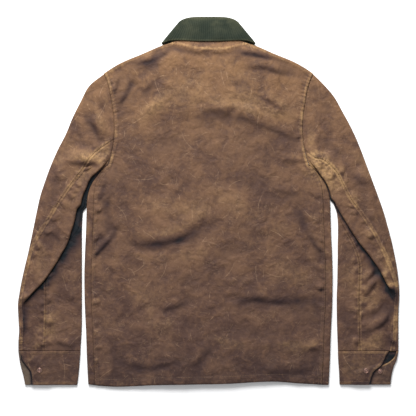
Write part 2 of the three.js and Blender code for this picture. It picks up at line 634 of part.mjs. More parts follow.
// Part of a closed sheet, from one column to another, drawn back at both ends to leave the seam's gap.
function cutFromTube(rings, normals, from, to, thickness) {
  const columns = rings[0].length;
  const pick = (table) => table.map((row) => {
    const picked = [];
    for (let j = from; j <= to; j++) picked.push(row[j % columns].clone());
    return picked;
  });
  const grid = pick(rings);
  for (const row of grid) {
    for (const [end, next] of [[0, 1], [row.length - 1, row.length - 2]]) {
      const inward = row[next].clone().sub(row[end]).normalize();
      row[end].addScaledVector(inward, seamInset);
    }
  }
  return clothWall(grid, thickness, () => true, pick(normals));
}

function sleevePanels(table, side) {
  const rings = table.map((row, i) => sleeveSection(row, side, i / (table.length - 1)));
  const normals = gridNormals(rings, true);
  return {
    under: cutFromTube(rings, normals, 0, showingCount, sleeveWall),
    top: cutFromTube(rings, normals, showingCount, rings[0].length, sleeveWall),
  };
}

// The collar from its middle at the back to its end at the front, for one side. neck is the place along the
// neck seam: 0 to 1 along the back, 1 to 2 along the front. fold is where the stand turns over into the fall,
// edge the fall's free edge, and roll the direction in degrees that the fall's outer face looks: 0 up,
// 90 sideways, 180 down.
const collarSections = [
  { neck: 0, foldX: 0, foldY: 386, foldZ: 5.6, edgeX: 0, edgeY: 336, edgeZ: 9.6, roll: 0 },
  { neck: 0.2, foldX: 18, foldY: 386, foldZ: 5.6, edgeX: 23, edgeY: 336, edgeZ: 9.8, roll: 0 },
  { neck: 0.4, foldX: 32, foldY: 385.5, foldZ: 5.7, edgeX: 42, edgeY: 337, edgeZ: 9.8, roll: 0 },
  { neck: 0.6, foldX: 43, foldY: 384, foldZ: 5.8, edgeX: 62, edgeY: 338, edgeZ: 9.6, roll: 0 },
  { neck: 0.8, foldX: 51, foldY: 381.5, foldZ: 6, edgeX: 81, edgeY: 337, edgeZ: 9.4, roll: 0 },
  { neck: 0.9, foldX: 55.5, foldY: 379, foldZ: 6.1, edgeX: 92, edgeY: 333.6, edgeZ: 9.2, roll: 20 },
  { neck: 0.96, foldX: 58.5, foldY: 376, foldZ: 5.9, edgeX: 96.6, edgeY: 332.2, edgeZ: 7.9, roll: 55 },
  { neck: 1, foldX: 59.5, foldY: 374.5, foldZ: 5, edgeX: 97.9, edgeY: 331.6, edgeZ: 5.1, roll: 90 },
  { neck: 1.04, foldX: 58.8, foldY: 373, foldZ: 4.1, edgeX: 97.2, edgeY: 331, edgeZ: 2.1, roll: 130 },
  { neck: 1.08, foldX: 57.5, foldY: 371, foldZ: 3.85, edgeX: 94.8, edgeY: 329.6, edgeZ: 1.15, roll: 165 },
  { neck: 1.15, foldX: 53, foldY: 363, foldZ: 3.75, edgeX: 91, edgeY: 314, edgeZ: 1.15, roll: 180 },
  { neck: 1.262, foldX: 47, foldY: 349, foldZ: 3.75, edgeX: 87, edgeY: 286, edgeZ: 1.15, roll: 180 },
  { neck: 1.524, foldX: 33, foldY: 323, foldZ: 3.75, edgeX: 81, edgeY: 257, edgeZ: 1.15, roll: 180 },
  { neck: 1.702, foldX: 19, foldY: 306, foldZ: 3.75, edgeX: 74, edgeY: 238, edgeZ: 1.15, roll: 180 },
  { neck: 1.86, foldX: 4.5, foldY: 297, foldZ: 3.75, edgeX: 62, edgeY: 226, edgeZ: 1.15, roll: 180 },
];

// The panels' own neck edges, point by point from the middle of the back to the front's closing edge.
function neckEdge() {
  const edge = [];
  const back = backNeckCurve();
  const half = backColumns / 2 - shoulderColumns;
  for (let k = 0; k <= half; k++) {
    const share = k / half;
    edge.push({ place: share, point: back.getPointAt((1 + share) / 2) });
  }
  const front = planCurve(frontNeck);
  for (let k = neckColumns; k >= 0; k--) {
    const share = 1 - frontShares[k] / frontShares[neckColumns];
    edge.push({ place: 1 + share, point: front.getPointAt(share) });
  }
  return edge;
}

const collarRadius = (collarWall + seamGap + 0.1) / 2;
const collarClear = collarWall / 2 + 0.7; // between the neck's edge and the collar where it stands on edge
const neckTurn = { from: 0.92, run: 0.16 }; // where along the neck seam the collar goes from back to front

// One section of the collar: the stand from the neck seam to the fold, the fold, and the fall to its edge.
function collarSection(row, side) {
  const standColumns = 3;
  const fallColumns = 4;
  const foldSteps = 3;
  const edges = neckEdge();
  const next = Math.max(1, edges.findIndex((e) => e.place >= row.neck));
  const [from, to] = [edges[next - 1], edges[next]];
  const neck = from.point.clone().lerp(to.point, (row.neck - from.place) / (to.place - from.place));
  const along = to.point.clone().sub(from.point).normalize();
  const roll = THREE.MathUtils.degToRad(row.roll);
  const clear = seamGap + collarClear * Math.sin(roll);
  neck.addScaledVector(new THREE.Vector3(-along.y, along.x, 0), row.neck > 1 ? -clear : clear);
  neck.x *= side;
  const backZ = backHeight(neck.x, neck.y, 0);
  const frontZ = frontHeight(neck.x, neck.y, side);
  neck.z = mix(backZ, frontZ, smooth((row.neck - neckTurn.from) / neckTurn.run));

  const foldTop = new THREE.Vector3(side * row.foldX, row.foldY, row.foldZ);
  const rise = new THREE.Vector3(foldTop.x - neck.x, foldTop.y - neck.y, 0).normalize();
  const sideways = new THREE.Vector3(rise.y, -rise.x, 0).multiplyScalar(side);
  const outward = new THREE.Vector3(0, 0, Math.cos(roll)).addScaledVector(sideways, Math.sin(roll));
  const foldStart = foldTop.clone().addScaledVector(rise, -collarRadius);
  const edge = new THREE.Vector3(side * row.edgeX, row.edgeY, row.edgeZ);

  const path = [];
  for (let k = 0; k < standColumns; k++) path.push(neck.clone().lerp(foldStart, k / standColumns));
  for (let k = 0; k <= foldSteps; k++) {
    const angle = (Math.PI * k) / foldSteps;
    const point = foldStart.clone().addScaledVector(rise, collarRadius * Math.sin(angle));
    path.push(point.addScaledVector(outward, collarRadius * (1 - Math.cos(angle))));
  }
  const fallStart = path[path.length - 1];
  for (let k = 1; k <= fallColumns; k++) {
    const point = fallStart.clone().lerp(edge, k / fallColumns);
    point.z = mix(fallStart.z, edge.z, smooth(k / fallColumns));
    path.push(point);
  }
  return path;
}

function collarPanel() {
  const rightHalf = collarSections.map((row) => collarSection(row, 1));
  const leftHalf = collarSections.slice(1).map((row) => collarSection(row, -1));
  return clothWall([...leftHalf.reverse(), ...rightHalf], collarWall);
}

// A cuff's sections from the cuff seam to its bottom edge. opening is how far from the outer edge the lap
// ends, and tongue how far the other end reaches in under it.
const leftCuff = [
  { y: -314.6, outer: 399.2, inner: 268.6, opening: 5, tongue: 16 },
  { y: -322, outer: 398, inner: 269.2, opening: 5, tongue: 20 },
  { y: -332, outer: 396.6, inner: 270, opening: 6, tongue: 30 },
  { y: -343, outer: 394.5, inner: 270.8, opening: 12, tongue: 38 },
  { y: -356, outer: 391, inner: 272, opening: 18, tongue: 42 },
  { y: -370, outer: 387.5, inner: 273.5, opening: 17, tongue: 42 },
  { y: -384, outer: 385, inner: 275.4, opening: 15, tongue: 40 },
];
const rightCuff = [
  { y: -314.6, outer: 398.6, inner: 271.6, opening: 19, tongue: 3.5 },
  { y: -322, outer: 397, inner: 271.8, opening: 23, tongue: 4.5 },
  { y: -332, outer: 395, inner: 272.2, opening: 24, tongue: 10 },
  { y: -343, outer: 390, inner: 273, opening: 23, tongue: 28 },
  { y: -356, outer: 386, inner: 274, opening: 37, tongue: 62 },
  { y: -370, outer: 383.5, inner: 274.6, opening: 42, tongue: 66 },
  { y: -383.5, outer: 382, inner: 275, opening: 44, tongue: 66 },
];
const cuffStep = cuffWall + seamGap;
const cuffFloor = cuffWall / 2;
const cuffAir = 0.4; // between the lap and the layer under it
const tongueClear = 5; // the lap stays up this far past the tongue's end
const tongueRun = 18; // and comes down over this length

// One section of a cuff: from the lap's end over the tongue to the inner edge, back along the surface, round
// the outer edge, and in under the lap.
function cuffSection(row, side) {
  const lapColumns = 6;
  const floorColumns = 4;
  const tongueColumns = 3;
  const outerRadius = cuffStep / 2;
  const edge = outerRadius + cuffWall / 2;
  const width = row.outer - row.inner;
  const at = (distance, height) => new THREE.Vector3(side * (row.outer - distance), row.y, height);
  const crossed = row.tongue > row.opening - 6;
  const down = row.tongue + tongueClear;
  const lapLift = crossed ? cuffStep + 0.1 : 0;
  const lapHeight = (distance) =>
    cuffFloor + cuffStep + cuffAir + lapLift * (1 - smooth((distance - down) / tongueRun));
  const path = [];
  for (const distance of stops(row.opening, width - edge, lapColumns, down)) {
    path.push(at(distance, lapHeight(distance)));
  }
  const innerRadius = (path[path.length - 1].z - cuffFloor) / 2;
  for (let k = 1; k <= turnSteps; k++) {
    const angle = (Math.PI * k) / turnSteps;
    const height = cuffFloor + innerRadius * (1 + Math.cos(angle));
    path.push(at(width - edge + innerRadius * Math.sin(angle), height));
  }
  for (let k = 1; k <= floorColumns; k++) {
    path.push(at(mix(width - edge, edge, k / floorColumns), cuffFloor));
  }
  for (let k = 1; k <= turnSteps; k++) {
    const angle = (Math.PI * k) / turnSteps;
    const height = cuffFloor + outerRadius * (1 - Math.cos(angle));
    path.push(at(edge - outerRadius * Math.sin(angle), height));
  }
  for (let k = 1; k <= tongueColumns; k++) {
    path.push(at(mix(edge, Math.max(row.tongue, edge + 0.5), k / tongueColumns), cuffFloor + cuffStep));
  }
  return path;
}

// Snaps: a domed ring with an open middle, and a stud with a small nipple. Both are turned profiles.
const ringProfile = [
  { r: 2.75, z: 0 },
  { r: 5.25, z: 0 },
  { r: 5.25, z: 0.5 },
  { r: 4.6, z: 1.1 },
  { r: 3.6, z: 1.1 },
  { r: 2.75, z: 0.5 },
];
const studProfile = [
  { r: 0, z: 0 },
  { r: 5, z: 0 },
  { r: 5, z: 0.4 },
  { r: 4, z: 0.8 },
  { r: 2.1, z: 0.9 },
  { r: 2.1, z: 2.1 },
  { r: 1.4, z: 2.5 },
  { r: 0, z: 2.5 },
];
const capProfile = [
  { r: 0, z: 0 },
  { r: 7, z: 0 },
  { r: 7.5, z: 0.5 },
  { r: 7.5, z: 1.5 },
  { r: 0, z: 1.5 },
];
const capSeat = [
  { r: 0, z: -1 },
  { r: 7.8, z: -1 },
  { r: 7.8, z: 1.8 },
  { r: 0, z: 1.8 },
];
const snapSides = 14;

function turned(profile, x, y, z) {
  const closed = profile[0].r > 0 ? [...profile, profile[0]] : profile;
  const points = closed.map((p) => new THREE.Vector2(p.r, p.z));
  const geometry = new THREE.LatheGeometry(points, snapSides);
  geometry.rotateX(Math.PI / 2);
  geometry.translate(x, y, z);
  return geometry;
}

const leftRing = { x: -354, y: -353.6, z: 7.4 };
const rightRing = { x: 330.5, y: -355, z: 7.4 };
const rightStud = { x: 360, y: -356, z: 4.7 };
const frontCapRows = [165, 45, -75, -195, -315];

function solidOf(geometry) {
  const plain = geometry.index ? geometry.toNonIndexed() : geometry.clone();
  const bare = new THREE.BufferGeometry().setAttribute("position", plain.getAttribute("position"));
  const merged = mergeVertices(bare, 1e-4);
  return new wasm.Manifold(
    new wasm.Mesh({
      numProp: 3,
      vertProperties: merged.attributes.position.array,
      triVerts: new Uint32Array(merged.index.array),
    }),
  );
}

function geometryOf(solid) {
  const mesh = solid.getMesh();
  const geometry = new THREE.BufferGeometry();
  const positions = new Float32Array(mesh.numVert * 3);
  for (let i = 0; i < mesh.numVert; i++) {
    positions.set(mesh.vertProperties.subarray(i * mesh.numProp, i * mesh.numProp + 3), i * 3);
  }
  geometry.setAttribute("position", new THREE.BufferAttribute(positions, 3));
  geometry.setIndex(new THREE.BufferAttribute(mesh.triVerts, 1));
  return geometry;
}

// The left front closes over the right, so the five caps sit in its face, flush with the surface it lies on.
function frontWithSeats() {
  const seats = frontCapRows.map((y) => solidOf(turned(capSeat, 0, y, 0)));
  return geometryOf(solidOf(frontPanel(-1)).subtract(wasm.Manifold.union(seats)));
}

// A mesh with its cloth or metal, named for the piece.
function piece(name, geometry, finish) {
  const mesh = new THREE.Mesh(geometry, new THREE.MeshStandardMaterial(finish));
  mesh.name = name;
  return mesh;
}

const jacket = new THREE.Group();
const leftPanels = sleevePanels(leftSleeve, -1);
const rightPanels = sleevePanels(rightSleeve, 1);
jacket.add(
  piece("back", backPanel(), tan),
  piece("left_front", frontWithSeats(), tan),
  piece("right_front", frontPanel(1), tan),
  piece("left_under_sleeve", leftPanels.under, tan),
  piece("left_top_sleeve", leftPanels.top, tan),
  piece("right_under_sleeve", rightPanels.under, tan),
  piece("right_top_sleeve", rightPanels.top, tan),
  piece("collar", collarPanel(), olive),
  piece("left_cuff", clothWall(leftCuff.map((row) => cuffSection(row, -1)), cuffWall), darkTan),
  piece("right_cuff", clothWall(rightCuff.map((row) => cuffSection(row, 1)), cuffWall), darkTan),
  piece("left_cuff_ring", turned(ringProfile, leftRing.x, leftRing.y, leftRing.z), copper),
  piece("right_cuff_ring", turned(ringProfile, rightRing.x, rightRing.y, rightRing.z), copper),
  piece("right_cuff_stud", turned(studProfile, rightStud.x, rightStud.y, rightStud.z), copper),
  ...frontCapRows.map((y, i) => piece(`front_cap_${i + 1}`, turned(capProfile, 0, y, 0), copper)),
);
jacket.position.copy(frameShift);

export default jacket;
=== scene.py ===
"""A waxed cotton jacket with a corduroy collar, laid face down and flat, dressed over its solids.

Tables and sizes are in millimetres in the jacket's own frame: +X to the wearer's right, +Y from hem to collar
and +Z up from the surface. The frame of the solids is the same, moved by FRAME_SHIFT, and a mesh is made in
metres. Side -1 is the wearer's left and 1 the right.
"""

import math

import bpy
import numpy as np
from bpy.props import FloatProperty, FloatVectorProperty, IntProperty, PointerProperty
from mathutils import Color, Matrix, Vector
from mathutils.bvhtree import BVHTree


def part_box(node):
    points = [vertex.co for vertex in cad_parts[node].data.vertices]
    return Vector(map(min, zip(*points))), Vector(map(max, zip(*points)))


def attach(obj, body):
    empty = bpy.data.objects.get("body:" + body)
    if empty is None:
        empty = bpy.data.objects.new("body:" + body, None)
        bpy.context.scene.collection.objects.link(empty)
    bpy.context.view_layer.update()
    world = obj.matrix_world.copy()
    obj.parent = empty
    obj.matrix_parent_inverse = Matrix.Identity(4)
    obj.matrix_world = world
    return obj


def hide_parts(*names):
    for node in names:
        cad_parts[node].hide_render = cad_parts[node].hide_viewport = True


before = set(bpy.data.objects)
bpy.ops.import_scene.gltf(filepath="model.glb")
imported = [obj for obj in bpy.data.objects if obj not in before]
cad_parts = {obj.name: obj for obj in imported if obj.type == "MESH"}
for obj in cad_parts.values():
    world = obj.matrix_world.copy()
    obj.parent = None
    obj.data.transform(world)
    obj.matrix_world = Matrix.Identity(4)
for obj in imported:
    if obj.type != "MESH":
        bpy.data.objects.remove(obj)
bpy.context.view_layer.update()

bl_info = {
    "name": "Waxed Cotton Jacket",
    "version": (1, 0, 0),
    "blender": (4, 5, 0),
    "location": "View3D > Sidebar > Jacket",
    "description": "Builds a waxed cotton jacket that lies flat, piece by piece",
    "category": "Object",
}

MM = 0.001
SIDES = ((-1, "left"), (1, "right"))
X_AXIS, Z_AXIS = 0, 2
FRAME_SHIFT = np.array([-0.25, 0.2, 0.0])

LENS = 100.0
SENSOR = 36.0
PHOTO_CENTRE = np.array([-1.05, -13.65])  # the place straight under the camera
LAMP_PLACE = (-0.42, 1.79, 1.42)
LAMP_AIM = (0.0, 0.05, 0.0)
LAMP_SIZE = 1.4
SKY_COLOUR = (0.97, 0.98, 1.0, 1.0)
FLOOR_DROP = 0.0004  # the floor lies this far under the jacket, so that the two don't share a plane


# Shapes of the cut, one side each; the left side mirrors X

BODY_SIDE = np.array([
    # y, half width
    (74, 214), (62, 227), (43, 241), (28, 249), (6, 254.5), (-24, 256), (-60, 257), (-105, 259),
    (-155, 260.5), (-220, 259.5), (-270, 257), (-330, 255), (-388, 252),
], float)
HEM = np.array([
    # x, y
    (-262, -381), (-235, -385.5), (-200, -387.5), (-120, -384), (-40, -382.5), (40, -381), (137, -376.5),
    (200, -380.5), (262, -384.5),
], float)
ARMHOLE = [(219, 268), (209, 241), (203, 211), (199, 185), (197, 158), (198, 134), (201, 114), (205.5, 94),
           (211.5, 76.5)]
SHOULDER = [(219, 268), (205, 278), (177, 293.5), (137, 309.5), (110, 321.5), (97, 326.5), (79, 332)]
BACK_NECK = [(79, 332), (62, 337.5), (44, 341), (22, 343.5), (0, 344.5)]
FRONT_NECK = [(79, 332), (72, 312), (60, 292), (45, 277), (26, 267), (0, 262), (-15, 261)]
NECK_SEAM = [(-92, 334), (-60, 329), (-30, 322), (3, 319.5), (30, 319.5), (58, 326), (88, 334)]
ARMPIT_Y = BODY_SIDE[0, 0]
HEM_CORNER = 250  # half the hem's width, where its corners are read
SIDE_WRAP = 12.0  # how far a front comes round the side onto the back
FRONT_LAP = 15.0  # how far a front passes the middle

# Folds of the back. A fold stands on the collar's side of its path, and on the hem's side where its height is
# below 0.
NECK_FOLDS = 8  # the first rows, which lie round the neck
BACK_FOLDS = [
    # height, soft width, path
    (1.9, 10, [(-76, 322), (-50, 318), (-28, 313), (3, 312), (29, 310), (46, 313)]),
    (2.4, 14, [(-62, 326), (-86, 312), (-110, 297), (-140, 290), (-172, 287)]),
    (-1.2, 9, [(-106, 292), (-84, 305), (-62, 319)]),
    (1.5, 8, [(-116, 288), (-104, 286), (-90, 286)]),
    (2.6, 12, [(44, 314), (73, 310), (105, 305), (134, 298), (150, 297)]),
    (-1.3, 8, [(84, 300), (110, 295), (131, 292), (152, 296)]),
    (2.3, 12, [(58, 281), (95, 281), (125, 277), (155, 267), (178, 268)]),
    (1.8, 13, [(108, 224), (135, 204), (162, 185)]),
    (3.0, 13, [(-160, 268), (-165, 236), (-178, 215), (-191, 194)]),
    (2.2, 8, [(-186, 266), (-193, 240), (-198, 216)]),
    (1.5, 9, [(-170, 190), (-180, 181), (-192, 170)]),
    (1.6, 14, [(-110, 254), (-123, 240), (-138, 224)]),
    (-1.8, 14, [(-102, 224), (-118, 206), (-136, 188)]),
    (1.2, 12, [(-104, 250), (-92, 243), (-78, 236)]),
    (1.0, 12, [(-46, 234), (-36, 238), (-24, 238)]),
    (-2.0, 20, [(-60, 186), (-30, 198), (10, 204), (45, 205), (95, 198), (130, 175), (165, 150),
                      (190, 131)]),
    (1.5, 20, [(-16, 190), (6, 191), (28, 188), (50, 181)]),
    (1.9, 15, [(40, 170), (74, 172), (104, 160), (131, 151), (158, 140), (198, 115)]),
    (1.2, 6, [(184, 106), (194, 105), (204, 104)]),
    (2.2, 8, [(146, 82), (166, 85), (186, 84), (205, 88)]),
    (1.2, 6, [(188, 96), (196, 96), (205, 97)]),
    (1.8, 12, [(128, 28), (160, 19), (198, 14)]),
    (3.4, 26, [(-190, -79), (-165, -88), (-143, -92), (-112, -90), (-88, -86), (-56, -78), (-24, -60),
                      (-2, -49)]),
    (-1.5, 12, [(-170, -100), (-130, -106), (-84, -110)]),
    (2.0, 14, [(-182, -22), (-190, -52), (-212, -88), (-246, -120)]),
    (-2.1, 9, [(-250, -72), (-236, -64), (-218, -54)]),
    (3.2, 6, [(-196, -66), (-212, -86), (-232, -108), (-250, -126)]),
    (1.6, 9, [(-209, 62), (-214, 44), (-223, 18), (-230, -10)]),
    (1.3, 9, [(-196, 68), (-200, 42), (-208, 8), (-212, -24)]),
    (1.8, 10, [(188, -34), (206, -66), (226, -96), (246, -122)]),
    (1.6, 8, [(214, -128), (228, -142), (246, -152)]),
    (1.5, 8, [(216, -166), (230, -182), (246, -192)]),
    (-1.2, 14, [(66, -44), (100, -46), (137, -48), (188, -58)]),
    (2.4, 20, [(28, -230), (60, -216), (92, -206), (132, -210), (169, -212), (200, -208),
                      (232, -204)]),
    (1.8, 12, [(-104, -234), (-86, -226), (-69, -221), (-40, -211)]),
    (-1.2, 12, [(-168, -268), (-140, -258), (-114, -251), (-76, -246), (-40, -240)]),
    (1.9, 14, [(12, -298), (2, -312), (-14, -328), (-30, -352)]),
    (1.8, 12, [(-196, -336), (-165, -344), (-140, -349), (-114, -350), (-82, -341), (-54, -333)]),
    (1.2, 10, [(-196, -316), (-198, -346), (-202, -384)]),
    (-1.6, 14, [(126, -294), (160, -298), (200, -299), (236, -299)]),
    (1.6, 9, [(206, -312), (224, -310), (246, -306)]),
    (2.2, 18, [(100, -340), (120, -352), (140, -359), (179, -360), (206, -354), (232, -342)]),
    (-0.9, 8, [(30, -163), (66, -160), (104, -161)]),
]

# Broad soft troughs of the back, and ridges where the depth is below 0
BACK_TROUGHS = [
    # depth, half width, path
    (2.6, 13, [(-92, 314), (-108, 303), (-122, 291), (-150, 288)]),
    (1.4, 11, [(-56, 322), (-76, 319), (-92, 314)]),
    (2.0, 9, [(60, 318), (95, 308), (130, 299), (160, 292)]),
    (1.8, 12, [(80, 297), (110, 290), (140, 282), (175, 272), (205, 260)]),
    (2.2, 11, [(-160, 250), (-172, 226), (-186, 200), (-193, 180)]),
    (1.5, 12, [(-180, 264), (-190, 240), (-198, 216)]),
    (1.5, 14, [(-112, 242), (-128, 226), (-150, 205)]),
    (2.2, 22, [(-10, 182), (20, 184), (48, 172)]),
    (1.9, 13, [(58, 180), (95, 172), (130, 160), (165, 142), (195, 120)]),
    (1.4, 22, [(-98, 132), (-80, 128), (-60, 124)]),
    (1.0, 26, [(70, 120), (110, 115), (150, 108)]),
    (1.3, 18, [(84, 44), (110, 42), (152, 32)]),
    (1.2, 13, [(87, 22), (140, 12), (197, 4)]),
    (2.6, 12, [(-221, 40), (-214, -8), (-202, -48), (-196, -60)]),
    (3.5, 14, [(-206, -58), (-224, -78), (-242, -100)]),
    (-1.8, 7, [(-234, -52), (-240, -62), (-248, -72)]),
    (-1.2, 10, [(-202, 30), (-196, -6), (-184, -40)]),
    (1.4, 12, [(-178, -80), (-150, -88), (-124, -94)]),
    (2.8, 14, [(-120, -93), (-90, -89), (-56, -80), (-28, -68), (6, -48)]),
    (1.4, 22, [(38, -116), (3, -133), (-24, -160), (-52, -188)]),
    (1.1, 18, [(100, -74), (66, -92), (45, -107)]),
    (2.3, 12, [(58, -203), (100, -205), (140, -208), (180, -206), (228, -214)]),
    (1.5, 26, [(188, -232), (228, -244)]),
    (1.7, 17, [(42, -268), (90, -274), (150, -284)]),
    (1.5, 14, [(-58, -252), (-44, -264)]),
    (2.0, 12, [(-100, -233), (-70, -222), (-42, -206)]),
    (1.3, 18, [(-162, -268), (-138, -280)]),
    (2.4, 11, [(10, -303), (-4, -318), (-18, -340), (-24, -354)]),
    (2.7, 12, [(-190, -332), (-160, -346), (-125, -352), (-90, -344), (-60, -331)]),
    (2.6, 16, [(94, -338), (130, -356), (170, -360), (210, -350), (232, -338)]),
    (1.6, 8, [(-198, -304), (-197, -330), (-199, -364)]),
    (1.3, 11, [(136, -311), (138, -327)]),
    (1.6, 10, [(231, -164), (240, -188)]),
    (3.0, 11, [(185, -16), (206, -56), (224, -90), (241, -122)]),
    (-1.3, 9, [(206, -24), (222, -58), (238, -84)]),
    (2.0, 6, [(-76, 320), (-54, 313), (-30, 308), (-6, 306)]),
    (1.7, 5.5, [(16, 306), (38, 309), (56, 316)]),
    (-1.2, 22, [(-124, -2), (-60, -16), (2, -28)]),
    (-1.0, 18, [(-80, -108), (-30, -112), (12, -118)]),
    (-1.2, 13, [(-2, -283), (30, -296), (62, -300)]),
    (-1.4, 11, [(116, -298), (170, -296), (226, -300)]),
    (-1.3, 26, [(-82, 240), (-40, 226), (2, 218)]),
    (-1.4, 18, [(-154, 166), (-122, 188), (-94, 206)]),
    (-1.0, 18, [(58, 224), (110, 212), (152, 190)]),
    (-0.9, 20, [(-170, 90), (-150, 64), (-140, 30)]),
    (-0.9, 22, [(150, -130), (180, -160), (190, -176)]),
    (-0.8, 20, [(-150, -180), (-130, -210), (-120, -232)]),
    (-0.8, 22, [(20, 20), (50, 6), (70, -24)]),
]

# Troughs and ridges of the fronts, which lie pressed between the back and the surface
FRONT_TROUGHS = [
    (2.4, 13, [(-196, -60), (-160, -84), (-120, -92), (-70, -84), (-40, -66)]),
    (1.9, 12, [(50, -196), (96, -208), (150, -204), (214, -212)]),
    (1.7, 15, [(-190, -330), (-150, -346), (-110, -340), (-70, -322)]),
    (1.6, 13, [(90, -334), (140, -352), (196, -346)]),
    (2.1, 12, [(-150, 270), (-168, 240), (-184, 206)]),
    (1.8, 13, [(96, 268), (130, 262), (170, 242), (190, 214)]),
    (1.5, 18, [(-130, 140), (-100, 110), (-56, 96)]),
    (1.6, 16, [(70, 100), (110, 84), (160, 80), (200, 60)]),
    (1.9, 11, [(176, 10), (204, -40), (230, -96)]),
    (1.7, 12, [(-206, 30), (-214, -20), (-232, -70)]),
    (1.3, 20, [(30, -80), (60, -110), (110, -128)]),
    (1.2, 18, [(-60, -170), (-100, -200), (-150, -214)]),
    (-1.2, 20, [(-140, 40), (-100, 20), (-60, 24)]),
    (-1.1, 18, [(60, 190), (110, 200), (150, 180)]),
]

# Folds, and then troughs and ridges, of the two sleeves where they show
SLEEVE_FOLDS = [
    (3.0, 10, [(-307, 81), (-280, 79), (-253, 78), (-222, 77)]),
    (2.2, 10, [(-254, 182), (-246, 166), (-238, 151), (-225, 124)]),
    (-1.9, 9, [(-236, 214), (-228, 192), (-220, 172), (-206, 140)]),
    (1.6, 9, [(-232, 232), (-224, 204), (-214, 176)]),
    (1.4, 10, [(-274, 152), (-266, 128), (-256, 110)]),
    (1.9, 9, [(-325, 71), (-318, 54), (-311, 38)]),
    (-1.4, 10, [(-300, 104), (-270, 104), (-246, 98)]),
    (1.5, 12, [(-340, -60), (-320, -74), (-306, -90)]),
    (1.5, 12, [(213, 246), (222, 238), (232, 232)]),
    (1.8, 10, [(224, 118), (230, 130), (238, 141)]),
    (1.5, 12, [(252, 132), (262, 112), (280, 96)]),
    (1.4, 12, [(300, 60), (318, 40), (336, 30)]),
    (2.0, 9, [(214, 96), (230, 92), (246, 94)]),
    (1.6, 8, [(212, 108), (226, 110), (240, 104)]),
    (-1.8, 8, [(368, -176), (380, -174), (392, -174)]),
    (3.2, 13, [(390, -224), (380, -240), (368, -254), (348, -268), (324, -281)]),
    (2.6, 8, [(353, -160), (346, -175), (338, -187), (324, -203)]),
    (2.2, 8, [(353, -140), (342, -156), (325, -173)]),
    (-2.2, 8, [(357, -148), (344, -162), (330, -177)]),
    (1.6, 9, [(292, -229), (302, -232), (312, -238)]),
    (2.8, 9, [(372, -283), (384, -294), (398, -303)]),
    (1.6, 12, [(376, -206), (356, -226), (330, -240)]),
    (1.8, 9, [(-381, -219), (-383, -240), (-385, -264), (-394, -292)]),
    (2.0, 9, [(-329, -291), (-312, -299), (-294, -304), (-270, -306)]),
    (2.4, 8, [(-339, -294), (-349, -305), (-356, -314), (-365, -325)]),
    (2.2, 7, [(-346, -320), (-357, -329), (-366, -337), (-376, -345)]),
    (2.0, 7, [(-339, -322), (-346, -334), (-354, -343), (-363, -350)]),
    (1.3, 12, [(-300, -200), (-286, -206), (-272, -204)]),
    (1.2, 10, [(-350, -250), (-340, -256), (-322, -254)]),
]

SLEEVE_TROUGHS = [
    (2.2, 11, [(-254, 184), (-244, 158), (-232, 130)]),
    (1.6, 11, [(-284, 160), (-272, 138), (-262, 116)]),
    (1.6, 12, [(-316, 60), (-322, 30), (-330, 4)]),
    (1.5, 14, [(-340, -50), (-326, -74), (-310, -92)]),
    (2.4, 10, [(-388, -214), (-386, -240), (-390, -272)]),
    (1.5, 14, [(-350, -206), (-330, -214), (-306, -214)]),
    (1.7, 12, [(-336, -292), (-310, -300), (-278, -304)]),
    (-1.3, 15, [(-300, 130), (-312, 100), (-322, 76)]),
    (-1.2, 14, [(-330, -226), (-334, -256), (-332, -280)]),
    (-1.0, 16, [(-356, -110), (-350, -140), (-344, -160)]),
    (2.0, 11, [(222, 236), (240, 214), (256, 190)]),
    (1.8, 12, [(236, 132), (258, 108), (282, 92)]),
    (1.5, 14, [(300, 62), (318, 40), (338, 28)]),
    (1.6, 14, [(322, -10), (336, -34), (352, -48)]),
    (1.2, 13, [(289, -108), (308, -100), (327, -95)]),
    (2.4, 10, [(359, -133), (350, -150), (338, -172)]),
    (3.0, 12, [(392, -222), (373, -238), (359, -256), (341, -266), (318, -284)]),
    (2.0, 9, [(369, -217), (352, -235), (331, -249)]),
    (2.0, 9, [(376, -282), (390, -286), (398, -292)]),
    (1.3, 15, [(284, -236), (300, -262), (304, -290)]),
    (-1.6, 11, [(364, -150), (356, -166), (344, -184)]),
    (-1.4, 12, [(384, -248), (372, -262), (350, -282)]),
    (-1.2, 15, [(290, -150), (304, -172), (306, -200)]),
    (-1.1, 13, [(310, 100), (326, 70), (340, 40)]),
]

